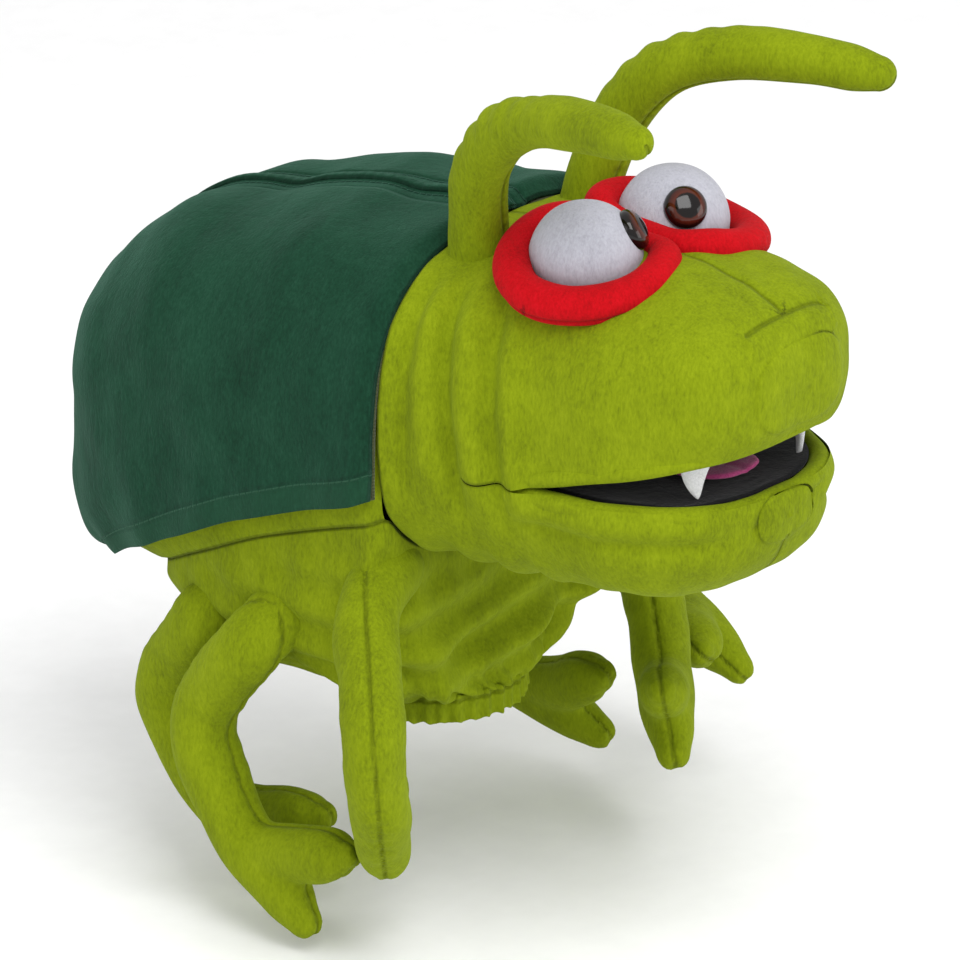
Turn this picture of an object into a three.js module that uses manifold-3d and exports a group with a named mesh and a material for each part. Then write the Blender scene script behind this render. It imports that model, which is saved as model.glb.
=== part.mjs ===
// Moving-mouth hand puppet: a plush beetle with a hinged jaw, two sewn wing cases and six hanging legs.
// Millimetres. +Z is up, the nose faces -Y, and the origin is the centre of the cuff's open bottom rim.
import * as THREE from 'three';
import { mergeVertices } from 'three/addons/utils/BufferGeometryUtils.js';
import Module from 'manifold-3d';

const wasm = await Module();
wasm.setup();

// ---- cloth, seams and clearances ----
const PLUSH = 2.2; // plush fabric, backing and pile together
const LINING = 1.0; // smooth lining cloth
const FELT = 2.4; // wool felt
const BOARD = 1.6; // mouth boards
const GAP = 0.35; // between pieces that lie on each other
const SEAM_GAP = 0.5; // between sewn edges of separate panels

// ---- body ----
const NECK_Y = -41; // plane of the neck seam
const BODY_REAR_Y = 174;
const BODY_HALF_WIDTH = 87;
const BODY_TOP_Z = 222; // at the neck seam
const BELLY_SEAM_DROP = 12; // belly seam below the wing cover's hem
const WING_CLEARANCE = 3.2; // between the body and the wing cover's lining
const WING_FRONT_Y = -36.5;
const WING_SEAM_HALF = 3.0; // half the width of the ridge between the wing cases

// ---- cuff and arm sleeve ----
const CUFF_RADIUS = 40;
const CUFF_HEIGHT = 13;
const CUFF_DEPTH = 4.6; // thickness of the folded casing
const ELASTIC_WIDTH = 7;
const ELASTIC_THICKNESS = 1.4;
const SLEEVE_CLEARANCE = 2.4; // between the sleeve and the casing's inside
const SLEEVE_RADIUS = CUFF_RADIUS - CUFF_DEPTH - SLEEVE_CLEARANCE;

// ---- head and mouth ----
const MOUTH_Y = -102; // hinge line through the mouth corners
const MOUTH_Z = 139;
const MOUTH_OPEN = 15; // degrees that the upper lip rises from the hinge line at rest
const NOSE_Y = -193;
const CHIN_Y = -187;
const HEAD_HALF_WIDTH = 70; // at the mouth corners
const HEAD_TOP_Z = 229;
const JAW_BOTTOM_Z = 83;
const MOUTH_HALF_WIDTH = 57; // lining, at the corners
const MOUTH_LENGTH = 74; // lining, from the hinge line to the front
const LIP = 3.5; // the boards stop this far inside the lining's edge
const NOD_Y = -45; // axis of the head's nod
const NOD_Z = 205;
const HEAD_REAR_SLOPE = 21; // degrees that the head's rear edge leans forward below the nod axis
const JAW_REAR_ANGLE = 70; // degrees below the horizontal of the jaw's rear edge

// ---- pockets for the fingers and the thumb ----
const FINGER_HALF_WIDTH = 38;
const FINGER_HEIGHT = 24;
const FINGER_LENGTH = 78;
const THUMB_HALF_WIDTH = 24;
const THUMB_HEIGHT = 24;
const THUMB_LENGTH = 62;

// ---- eyes ----
const EYE_X = 28;
const EYE_Y = -105;
const EYE_Z = 228;
const EYE_RADIUS = 23.3;
const PUPIL_TURN = 36; // degrees inward from straight ahead
const PUPIL_LIFT = 32; // degrees above the horizontal
const BUTTON_RADIUS = 9;
const BUTTON_DOME = 6;
const STEM_RADIUS = 1.8;
const STEM_LENGTH = 9;
const WASHER_RADIUS = 6.2;
const WASHER_DEPTH = 2.6; // under the inside of the eyeball's skin
const WASHER_THICKNESS = 1.6;
const LID_RADIUS = 6.6; // of the rolled lid itself
const LID_REACH = 32; // from the eye's centre to the middle of the roll
const LID_BACK_REACH = 28; // the same towards the back
const LID_Z = 222;
const LID_BACK_RISE = 11; // the back of the ring stands this much higher than its front
const LID_FALL = 0.2; // how much the ring falls for each millimetre outward

// ---- fangs and tongue ----
const FANG_X = 33;
const FANG_Y = -168;
const FANG_LENGTH = 17;
const FANG_WIDTH = 14;
const TONGUE_HALF_WIDTH = 17;
const TONGUE_ROOT = 27; // from the hinge line to the tongue's root
const TONGUE_LENGTH = 38;
const TONGUE_THICKNESS = 3;

// ---- antennae ----
const ANTENNA_X = 34;
const ANTENNA_Y = -54;
const ANTENNA_Z = 217;
const ANTENNA_BASE_RADIUS = 12.4;
const ANTENNA_TIP_RADIUS = 9.6;
const ANTENNA_RISE = 80;
const ANTENNA_REACH = 126;
const ANTENNA_SPREAD = 47;
const ANTENNA_ROOT_GAP = 2.4; // room for the root to bend above the head
const ANTENNA_TIP_LIFT = 8; // the right tip stands this much higher, and the left one this much lower

// ---- legs ----
const LEG_RADIUS = 15;
const LEG_LENGTH = 140; // hip to foot tip
const LEG_FILL_GAP = 0.6;
const LEG_HIPS = [
  { name: 'front_right', hip: [7 - BODY_HALF_WIDTH, -31, 86], turn: 130, out: 4, swing: 8, size: 0.94, axis: 0, range: [-18, 3] },
  { name: 'front_left', hip: [BODY_HALF_WIDTH - 3, -37, 86], turn: -50, out: 1, swing: 11, size: 0.9, axis: 0, range: [-18, 3] },
  { name: 'middle_right', hip: [2 - BODY_HALF_WIDTH, 17, 60], turn: 0, out: 0, swing: 0, size: 1, axis: 1, range: [-1, 16] },
  { name: 'middle_left', hip: [BODY_HALF_WIDTH - 3, 22, 60], turn: -28, out: 43, swing: 19, size: 0.96, axis: 1, range: [-14, 1] },
  { name: 'rear_right', hip: [17 - BODY_HALF_WIDTH, 58, 54], turn: 0, out: -9, swing: 0, size: 1, axis: 0, range: [-2, 18] },
  { name: 'rear_left', hip: [BODY_HALF_WIDTH - 17, 56, 50], turn: 0, out: 25, swing: 12, size: 0.96, axis: 0, range: [-4, 18] },
];
const SWEEP_STEP = 3; // degrees between the poses that a leg's root is cleared for

// ---- facets ----
const AROUND_BODY = 20;
const AROUND_LIMB = 7;
const AROUND_EYE = 12;
const AROUND_CUFF = 24;

const degrees = THREE.MathUtils.degToRad;
const V = (x, y, z) => new THREE.Vector3(x, y, z);

// ---------------------------------------------------------------- helpers

// A smooth curve through [position, value] stations with no overshoot (monotone cubic).
function profile(stations) {
  const slopes = stations.slice(1).map((s, i) => (s[1] - stations[i][1]) / (s[0] - stations[i][0]));
  const tangents = stations.map((s, i) => {
    if (i === 0) return slopes[0];
    if (i === stations.length - 1) return slopes[i - 1];
    return slopes[i - 1] * slopes[i] <= 0 ? 0 : 2 / (1 / slopes[i - 1] + 1 / slopes[i]);
  });
  return (position) => {
    const last = stations.length - 2;
    const past = stations.findIndex((s) => s[0] >= position);
    const i = Math.min(Math.max((past < 0 ? last + 1 : past) - 1, 0), last);
    const width = stations[i + 1][0] - stations[i][0];
    const t = THREE.MathUtils.clamp((position - stations[i][0]) / width, 0, 1);
    const h00 = (1 + 2 * t) * (1 - t) ** 2;
    const h10 = t * (1 - t) ** 2;
    const h01 = t * t * (3 - 2 * t);
    const h11 = t * t * (t - 1);
    return h00 * stations[i][1] + h10 * width * tangents[i]
      + h01 * stations[i + 1][1] + h11 * width * tangents[i + 1];
  };
}

// The signed volume tells which way the faces of a closed indexed body point.
function signedVolume(positions, index) {
  let total = 0;
  for (let i = 0; i < index.length; i += 3) {
    const [a, b, c] = [0, 1, 2].map((k) => V(...positions.slice(3 * index[i + k], 3 * index[i + k] + 3)));
    total += a.dot(b.cross(c));
  }
  return total;
}

// Joins rings of points, each with the same count, into one closed body with fan caps.
function loft(rings) {
  const count = rings[0].length;
  const positions = rings.flat().flatMap((p) => [p.x, p.y, p.z]);
  const index = [];
  for (let i = 0; i + 1 < rings.length; i += 1) {
    for (let j = 0; j < count; j += 1) {
      const a = i * count + j;
      const b = i * count + (j + 1) % count;
      index.push(a, b, b + count, a, b + count, a + count);
    }
  }
  [0, rings.length - 1].forEach((r, end) => {
    const middle = rings[r].reduce((sum, p) => sum.add(p), V(0, 0, 0)).divideScalar(count);
    const centre = positions.length / 3;
    positions.push(middle.x, middle.y, middle.z);
    for (let j = 0; j < count; j += 1) {
      const a = r * count + j;
      const b = r * count + (j + 1) % count;
      index.push(...(end ? [a, b, centre] : [b, a, centre]));
    }
  });
  if (signedVolume(positions, index) < 0) {
    index.reverse();
  }
  return new wasm.Manifold(new wasm.Mesh({
    numProp: 3,
    vertProperties: new Float32Array(positions),
    triVerts: new Uint32Array(index),
  }));
}

// A closed three.js geometry as a solid.
function solid(geometry, matrix = new THREE.Matrix4()) {
  const bare = geometry.clone().applyMatrix4(matrix);
  bare.deleteAttribute('normal');
  bare.deleteAttribute('uv');
  const merged = mergeVertices(bare, 1e-4);
  return new wasm.Manifold(new wasm.Mesh({
    numProp: 3,
    vertProperties: new Float32Array(merged.attributes.position.array),
    triVerts: new Uint32Array(merged.index.array),
  }));
}

function geometryOf(body) {
  const mesh = body.getMesh();
  const geometry = new THREE.BufferGeometry();
  geometry.setAttribute('position', new THREE.BufferAttribute(new Float32Array(mesh.vertProperties), 3));
  geometry.setIndex(new THREE.BufferAttribute(new Uint32Array(mesh.triVerts), 1));
  return geometry;
}

// Moves every vertex along its normal: a positive distance grows the body, a negative one shrinks it.
function offset(body, distance) {
  const geometry = geometryOf(body);
  geometry.computeVertexNormals();
  const position = geometry.attributes.position;
  const normal = geometry.attributes.normal;
  for (let i = 0; i < position.count; i += 1) {
    position.setXYZ(
      i,
      position.getX(i) + distance * normal.getX(i),
      position.getY(i) + distance * normal.getY(i),
      position.getZ(i) + distance * normal.getZ(i),
    );
  }
  return solid(geometry);
}

// A ring in a plane across Y: a superellipse between two heights.
function acrossY(y, halfWidth, top, bottom, power, count = AROUND_BODY) {
  const middle = (top + bottom) / 2;
  const half = (top - bottom) / 2;
  return Array.from({ length: count }, (_, j) => {
    const angle = 2 * Math.PI * (j + 0.5) / count;
    const c = Math.cos(angle);
    const s = Math.sin(angle);
    return V(
      halfWidth * Math.sign(c) * Math.abs(c) ** (2 / power),
      y,
      middle + half * Math.sign(s) * Math.abs(s) ** (2 / power),
    );
  });
}

// A body of rings across Y at the given stations; every size is a function of y.
function bodyAcrossY(stations, halfWidth, top, bottom, power) {
  return loft(stations.map((y) => acrossY(y, halfWidth(y), top(y), bottom(y), power)));
}

// A round tube along a smooth path through the points, with its radius as a function of the way along.
// squash flattens it along the given side direction; inset makes it that much thinner and shorter at both ends.
function limb(points, radius, steps, { count = AROUND_LIMB, side = V(1, 0, 0), squash = 1, inset = 0 } = {}) {
  const curve = new THREE.CatmullRomCurve3(points, false, 'centripetal');
  const cut = inset / curve.getLength();
  const rings = [];
  for (let i = 0; i <= steps; i += 1) {
    const t = cut + (1 - 2 * cut) * i / steps;
    const along = curve.getTangentAt(t);
    const across = side.clone().addScaledVector(along, -side.dot(along)).normalize();
    const third = along.clone().cross(across);
    const centre = curve.getPointAt(t);
    rings.push(Array.from({ length: count }, (_, j) => {
      const angle = 2 * Math.PI * j / count;
      return centre.clone()
        .addScaledVector(across, (squash * radius(t) - inset) * Math.cos(angle))
        .addScaledVector(third, (radius(t) - inset) * Math.sin(angle));
    }));
  }
  return loft(rings);
}

// A box between two corners, turned about X by an angle in degrees round the given (y, z) point.
function block(low, high, turn = 0, about = [0, 0]) {
  const size = V(...high).sub(V(...low));
  const middle = V(...low).add(V(...high)).divideScalar(2);
  const matrix = new THREE.Matrix4().makeTranslation(0, about[0], about[1])
    .multiply(new THREE.Matrix4().makeRotationX(degrees(turn)))
    .multiply(new THREE.Matrix4().makeTranslation(middle.x, middle.y - about[0], middle.z - about[1]));
  return solid(new THREE.BoxGeometry(size.x, size.y, size.z), matrix);
}

// A flat plate with the given outline in plan, between two heights.
function plate(outline, low, high) {
  const shape = new THREE.Shape(outline.map(([x, y]) => new THREE.Vector2(x, y)));
  const geometry = new THREE.ExtrudeGeometry(shape, { depth: high - low, bevelEnabled: false });
  return solid(geometry, new THREE.Matrix4().makeTranslation(0, 0, low));
}

// A prism across X with the given (y, z) outline.
function prism(outline, reach = 400) {
  const shape = new THREE.Shape(outline.map(([y, z]) => new THREE.Vector2(y, z)));
  const geometry = new THREE.ExtrudeGeometry(shape, { depth: 2 * reach, bevelEnabled: false });
  const turn = new THREE.Matrix4().makeBasis(V(0, 1, 0), V(0, 0, 1), V(1, 0, 0));
  return solid(geometry, turn.multiply(new THREE.Matrix4().makeTranslation(0, 0, -reach)));
}

function turned(body, angle, about) {
  return body.translate([0, -about[0], -about[1]]).rotate([angle, 0, 0]).translate([0, about[0], about[1]]);
}

const group = new THREE.Group();

function finish(color, roughness, metalness = 0) {
  return { color, roughness, metalness };
}

const LIME = finish(0x8da21f, 0.9);
const GREEN = finish(0x1d4a35, 0.9);
const BLACK = finish(0x0d0d10, 0.95);
const RED = finish(0xd0101c, 0.9);
const WHITE = finish(0xe8e8ee, 0.92);
const PINK = finish(0xc2307a, 0.9);
const LINER = finish(0x3a3f22, 0.8);
const FILL = finish(0xf4f2ea, 1);
const CARD = finish(0xb8a27c, 0.85);
const RUBBER = finish(0xdedccf, 0.6);
const EYE = finish(0x1c0b07, 0.12);
const PLASTIC = finish(0xdadada, 0.35);

function add(name, body, look) {
  const mesh = new THREE.Mesh(geometryOf(body), new THREE.MeshStandardMaterial(look));
  mesh.name = name;
  group.add(mesh);
  return body;
}

const SIDES = [
  { side: 'right', sign: -1 },
  { side: 'left', sign: 1 },
];

// ---------------------------------------------------------------- outer shapes

const bodyStations = [NECK_Y, -12, 25, 65, 100, 128, BODY_REAR_Y - 23, BODY_REAR_Y - 8, BODY_REAR_Y];
const bodyHalfWidth = profile([
  [NECK_Y, BODY_HALF_WIDTH - 3], [35, BODY_HALF_WIDTH], [80, BODY_HALF_WIDTH - 4],
  [120, BODY_HALF_WIDTH - 16], [BODY_REAR_Y - 27, BODY_HALF_WIDTH - 33],
  [BODY_REAR_Y - 11, BODY_HALF_WIDTH - 52], [BODY_REAR_Y, 10],
]);
const bodyTop = profile([
  [NECK_Y, BODY_TOP_Z], [0, BODY_TOP_Z - 4], [49, BODY_TOP_Z - 12], [95, BODY_TOP_Z - 23],
  [127, BODY_TOP_Z - 39], [BODY_REAR_Y - 20, BODY_TOP_Z - 68], [BODY_REAR_Y - 8, BODY_TOP_Z - 94],
  [BODY_REAR_Y, BODY_TOP_Z - 124],
]);
const bodyBottom = profile([
  [NECK_Y, 60], [0, 46], [60, 42], [120, 38], [BODY_REAR_Y - 22, 38], [BODY_REAR_Y - 9, 50],
  [BODY_REAR_Y, 74],
]);
const bodyPower = 3;
const dome = bodyAcrossY(bodyStations, bodyHalfWidth, bodyTop, bodyBottom, bodyPower);

// The belly narrows from the body to the cuff; it leans back as it rises.
const funnelRings = [
  [CUFF_HEIGHT + SEAM_GAP, CUFF_RADIUS + 3, 3], [22, 58, 13], [34, 72, 18], [48, 84, 23], [60, 86, 26], [88, 64, 26],
];
const funnel = loft(funnelRings.map(([z, radius, middle]) => Array.from({ length: AROUND_BODY }, (_, j) => {
  const angle = 2 * Math.PI * (j + 0.5) / AROUND_BODY;
  return V(radius * Math.cos(angle), middle + radius * Math.sin(angle), z);
})));
const body = dome.add(funnel);

const headPower = 2.7;
const headStations = [NECK_Y - GAP, -72, -105, -135, NOSE_Y + 33, NOSE_Y + 16, NOSE_Y + 6, NOSE_Y];
const headHalfWidth = profile([
  [NOSE_Y, 27], [NOSE_Y + 6, 41], [NOSE_Y + 16, 51], [NOSE_Y + 33, 60], [-137, 66], [-105, HEAD_HALF_WIDTH],
  [-80, 75], [NECK_Y, BODY_HALF_WIDTH - 3],
]);
const headTop = profile([
  [NOSE_Y, HEAD_TOP_Z - 24], [NOSE_Y + 6, HEAD_TOP_Z - 16], [NOSE_Y + 16, HEAD_TOP_Z - 9],
  [NOSE_Y + 33, HEAD_TOP_Z - 4], [-137, HEAD_TOP_Z - 1], [-105, HEAD_TOP_Z],
  [-80, HEAD_TOP_Z - 1], [NECK_Y, BODY_TOP_Z + 2],
]);
const headBottom = profile([
  [NOSE_Y, MOUTH_Z + 29], [NOSE_Y + 6, MOUTH_Z + 20], [NOSE_Y + 16, MOUTH_Z + 8],
  [NOSE_Y + 33, MOUTH_Z - 16], [-137, MOUTH_Z - 38], [-105, JAW_BOTTOM_Z], [NECK_Y, JAW_BOTTOM_Z + 1],
]);
const headWhole = bodyAcrossY(headStations, headHalfWidth, headTop, headBottom, headPower);

const jawStations = [NECK_Y - GAP, -72, -105, -135, CHIN_Y + 32, CHIN_Y + 15, CHIN_Y + 5, CHIN_Y];
const jawHalfWidth = profile([
  [CHIN_Y, 18], [CHIN_Y + 5, 33], [CHIN_Y + 15, 47], [CHIN_Y + 32, 58], [-137, 66], [-105, HEAD_HALF_WIDTH],
  [-80, 75], [NECK_Y, BODY_HALF_WIDTH - 3],
]);
const jawTop = profile([
  [CHIN_Y, MOUTH_Z + 1], [CHIN_Y + 5, MOUTH_Z + 11], [CHIN_Y + 15, MOUTH_Z + 21],
  [CHIN_Y + 32, MOUTH_Z + 33], [-137, MOUTH_Z + 46], [-105, HEAD_TOP_Z],
  [-80, HEAD_TOP_Z - 1], [NECK_Y, BODY_TOP_Z + 2],
]);
const jawBottom = profile([
  [CHIN_Y, MOUTH_Z - 22], [CHIN_Y + 5, MOUTH_Z - 32], [CHIN_Y + 15, MOUTH_Z - 41],
  [CHIN_Y + 32, MOUTH_Z - 49], [-137, JAW_BOTTOM_Z + 5], [-105, JAW_BOTTOM_Z], [NECK_Y, JAW_BOTTOM_Z + 1],
]);
const jawWhole = bodyAcrossY(jawStations, jawHalfWidth, jawTop, jawBottom, headPower);

// ---------------------------------------------------------------- where head, jaw and neck part

const hinge = [MOUTH_Y, MOUTH_Z];
const far = 500;
const rise = degrees(MOUTH_OPEN);
const rearSlope = Math.tan(degrees(HEAD_REAR_SLOPE));
const headRearAt = (z) => NOD_Y - 3 - Math.max(0, NOD_Z - z) * rearSlope;
const headRearCorner = headRearAt(MOUTH_Z);
const jawRear = degrees(JAW_REAR_ANGLE);

// Everything that belongs to the upper head: above the upper lip's plane and ahead of the rear edge.
// Each boundary is moved inwards by the given depth.
const headZoneAt = (depth) => prism([
  [MOUTH_Y, MOUTH_Z + depth],
  [MOUTH_Y - far * Math.cos(rise), MOUTH_Z + depth / Math.cos(rise) + far * Math.sin(rise)],
  [MOUTH_Y - far, MOUTH_Z + far], [headRearAt(NOD_Z) - depth, MOUTH_Z + far],
  [headRearAt(NOD_Z) - depth, NOD_Z], [headRearCorner - depth, MOUTH_Z + depth],
]);
// Everything that belongs to the jaw: below the hinge line and ahead of the jaw's rear edge.
const jawZoneAt = (depth) => prism([
  [MOUTH_Y - depth, MOUTH_Z - SEAM_GAP - depth],
  [MOUTH_Y - depth + far * Math.cos(jawRear), MOUTH_Z - far * Math.sin(jawRear)],
  [MOUTH_Y - far, MOUTH_Z - far], [MOUTH_Y - far, MOUTH_Z - SEAM_GAP - depth],
]);
const headZone = headZoneAt(0);
const jawZone = jawZoneAt(0);

const upperHead = headWhole.intersect(headZone);
const lowerJaw = jawWhole.intersect(jawZone);
const eyeCentres = SIDES.map(({ sign }) => V(sign * EYE_X, EYE_Y, EYE_Z));
const sphere = (radius, centre, around = AROUND_EYE, high = AROUND_EYE / 2 + 1) => solid(
  new THREE.SphereGeometry(radius, around, high),
  new THREE.Matrix4().makeTranslation(centre.x, centre.y, centre.z)
    .multiply(new THREE.Matrix4().makeRotationX(Math.PI / 2)),
);
const eyeSockets = eyeCentres.map((centre) => sphere(EYE_RADIUS + GAP, centre))
  .reduce((a, b) => a.add(b));

// ---------------------------------------------------------------- mouth: boards, linings, fangs, tongue

// Half of the mouth's plan: straight across at the hinge line, rounded at the front.
function mouthOutline(inset) {
  const half = MOUTH_HALF_WIDTH - inset;
  const length = MOUTH_LENGTH - inset;
  const steps = 14;
  return Array.from({ length: steps + 1 }, (_, i) => {
    const angle = Math.PI * i / steps;
    const c = Math.cos(angle);
    const s = Math.sin(angle);
    const power = 2 / 2.7;
    return [half * Math.sign(c) * Math.abs(c) ** power, MOUTH_Y - 1.5 - length * Math.abs(s) ** power];
  });
}

const liningPlate = plate(mouthOutline(0), 0, LINING);
const boardPlate = plate(mouthOutline(LIP), 0, BOARD);
// Heights above the hinge plane; the upper set is then turned up by the mouth's opening.
const upperPlace = (piece, height) => turned(piece.translate([0, 0, MOUTH_Z + height]), -MOUTH_OPEN, hinge);
const lowerPlace = (piece, height) => piece.translate([0, 0, MOUTH_Z - height]);
const liningHeight = 0.9;
const boardHeight = liningHeight + LINING + GAP;
const fillHeight = boardHeight + BOARD + GAP;

const upperLining = upperPlace(liningPlate, liningHeight);
const upperBoard = upperPlace(boardPlate, boardHeight);
const lowerLining = lowerPlace(liningPlate, liningHeight + LINING);
const lowerBoard = lowerPlace(boardPlate, boardHeight + BOARD);
const lowerLiningTop = MOUTH_Z - liningHeight;

const upperSpace = upperPlace(plate(mouthOutline(-GAP), 0, fillHeight + 4), -4);
const lowerSpace = lowerPlace(plate(mouthOutline(-GAP), 0, fillHeight + 4), fillHeight);

// ---------------------------------------------------------------- pockets

function pocket(halfWidth, height, length, wallOut) {
  const outline = [];
  const steps = 12;
  for (let i = 0; i <= steps; i += 1) {
    const angle = Math.PI * i / steps;
    const c = Math.cos(angle);
    outline.push([
      (halfWidth + wallOut) * Math.sign(c) * Math.abs(c) ** 0.7,
      -length * Math.sin(angle) ** 0.7 - wallOut * Math.sin(angle),
    ]);
  }
  return plate(outline, -wallOut, height + wallOut);
}

const fingerPlace = (piece) => turned(
  piece.translate([0, MOUTH_Y + 6, MOUTH_Z + fillHeight + LINING + GAP]), -MOUTH_OPEN, hinge,
);
const thumbPlace = (piece) => piece.translate([
  0, MOUTH_Y + 2, MOUTH_Z - fillHeight - LINING - GAP - THUMB_HEIGHT,
]);
const fingerOuter = fingerPlace(pocket(FINGER_HALF_WIDTH, FINGER_HEIGHT, FINGER_LENGTH, LINING));
const fingerInner = fingerPlace(pocket(FINGER_HALF_WIDTH, FINGER_HEIGHT, FINGER_LENGTH, 0)
  .add(block([-FINGER_HALF_WIDTH, -1, 0], [FINGER_HALF_WIDTH, 30, FINGER_HEIGHT])));
const thumbOuter = thumbPlace(pocket(THUMB_HALF_WIDTH, THUMB_HEIGHT, THUMB_LENGTH, LINING));
const thumbInner = thumbPlace(pocket(THUMB_HALF_WIDTH, THUMB_HEIGHT, THUMB_LENGTH, 0)
  .add(block([-THUMB_HALF_WIDTH, -1, 0], [THUMB_HALF_WIDTH, 30, THUMB_HEIGHT])));

add('finger_pocket', fingerOuter.subtract(fingerInner), LINER);
add('thumb_pocket', thumbOuter.subtract(thumbInner), LINER);

const fingerWay = fingerPlace(pocket(FINGER_HALF_WIDTH, FINGER_HEIGHT, FINGER_LENGTH, LINING + 2 * GAP).add(block(
  [-FINGER_HALF_WIDTH - 3, -1, -LINING - 2 * GAP], [FINGER_HALF_WIDTH + 3, 60, FINGER_HEIGHT + LINING + 40],
)));
const thumbWay = thumbPlace(pocket(THUMB_HALF_WIDTH, THUMB_HEIGHT, THUMB_LENGTH, LINING + GAP).add(block(
  [-THUMB_HALF_WIDTH - 3, -1, -LINING - GAP - 22], [THUMB_HALF_WIDTH + 3, 60, THUMB_HEIGHT + 60],
)));

// ---------------------------------------------------------------- head

const headCore = offset(headWhole, -PLUSH);
const headHand = turned(block(
  [-MOUTH_HALF_WIDTH, MOUTH_Y + 8, MOUTH_Z + fillHeight], [MOUTH_HALF_WIDTH, 0, MOUTH_Z + 62],
), -MOUTH_OPEN, hinge);
const headSkin = upperHead.subtract(headCore.intersect(headZoneAt(PLUSH))).subtract(eyeSockets).subtract(upperSpace)
  .subtract(headHand.intersect(headCore));
add('head_skin', headSkin, LIME);

const aboveBoard = block([-far, -far, 0], [far, far, far]).translate([0, 0, MOUTH_Z + fillHeight]);
const FILL_DEPTH = PLUSH + 2 * GAP;
const headFill = offset(headWhole, -FILL_DEPTH).intersect(headZoneAt(FILL_DEPTH))
  .intersect(turned(aboveBoard, -MOUTH_OPEN, hinge))
  .subtract(eyeSockets)
  .subtract(fingerWay);
add('head_stuffing', headFill, FILL);
add('upper_mouth_lining', upperLining, BLACK);
add('upper_mouth_board', upperBoard, CARD);

// ---------------------------------------------------------------- jaw

const jawCore = offset(jawWhole, -PLUSH);
const jawHand = block([-THUMB_HALF_WIDTH - 6, MOUTH_Y - 12, JAW_BOTTOM_Z + 12], [THUMB_HALF_WIDTH + 6, 0, MOUTH_Z]);
add('jaw_skin', lowerJaw.subtract(jawCore.intersect(jawZoneAt(PLUSH))).subtract(lowerSpace)
  .subtract(jawHand.intersect(jawCore)), LIME);
const belowBoard = block([-far, -far, -far], [far, far, MOUTH_Z - fillHeight]);
add('jaw_stuffing', offset(jawWhole, -FILL_DEPTH).intersect(jawZoneAt(FILL_DEPTH)).intersect(belowBoard)
  .subtract(thumbWay), FILL);
add('lower_mouth_lining', lowerLining, BLACK);
add('lower_mouth_board', lowerBoard, CARD);

const tongueOutline = Array.from({ length: 13 }, (_, i) => {
  const angle = Math.PI * i / 12;
  const c = Math.cos(angle);
  return [
    TONGUE_HALF_WIDTH * Math.sign(c) * Math.abs(c) ** 0.6,
    MOUTH_Y - TONGUE_ROOT - TONGUE_LENGTH * Math.sin(angle) ** 0.6,
  ];
});
add('tongue', plate(tongueOutline, lowerLiningTop + GAP, lowerLiningTop + GAP + TONGUE_THICKNESS), PINK);

// A fang is a felt triangle with bowed edges, standing along the lip and hanging from the lining.
SIDES.forEach(({ side, sign }) => {
  const shape = new THREE.Shape();
  shape.moveTo(-FANG_WIDTH / 2, 0);
  shape.quadraticCurveTo(-FANG_WIDTH / 2, -FANG_LENGTH / 2, 0, -FANG_LENGTH);
  shape.quadraticCurveTo(FANG_WIDTH / 3, -FANG_LENGTH / 2, FANG_WIDTH / 2, 0);
  const geometry = new THREE.ExtrudeGeometry(shape, { depth: FELT, bevelEnabled: false, curveSegments: 6 });
  const root = MOUTH_Z + (MOUTH_Y - FANG_Y) * Math.tan(rise);
  const matrix = new THREE.Matrix4().makeTranslation(sign * FANG_X, FANG_Y, root - 1.5 * GAP)
    .multiply(new THREE.Matrix4().makeRotationZ(degrees(sign * 50)))
    .multiply(new THREE.Matrix4().makeRotationX(degrees(90)))
    .multiply(new THREE.Matrix4().makeTranslation(0, 0, -FELT / 2));
  const clear = turned(block([-far, -far, MOUTH_Z + liningHeight - GAP], [far, far, far]), -MOUTH_OPEN, hinge);
  add(`fang_${side}`, solid(geometry, matrix).subtract(clear), WHITE);
});

// ---------------------------------------------------------------- neck

const neckZone = prism([
  [NECK_Y - SEAM_GAP, -far], [NECK_Y - SEAM_GAP, far], [MOUTH_Y - far, far], [MOUTH_Y - far, -far],
]);
const apart = (zone) => offset(zone, SEAM_GAP);
add('neck_skin', headWhole.subtract(headCore).intersect(neckZone)
  .subtract(apart(headZone)).subtract(apart(jawZone))
  .subtract(block([-far, -far, 0], [far, MOUTH_Y + SEAM_GAP, far])), LIME);

// ---------------------------------------------------------------- eyes

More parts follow.
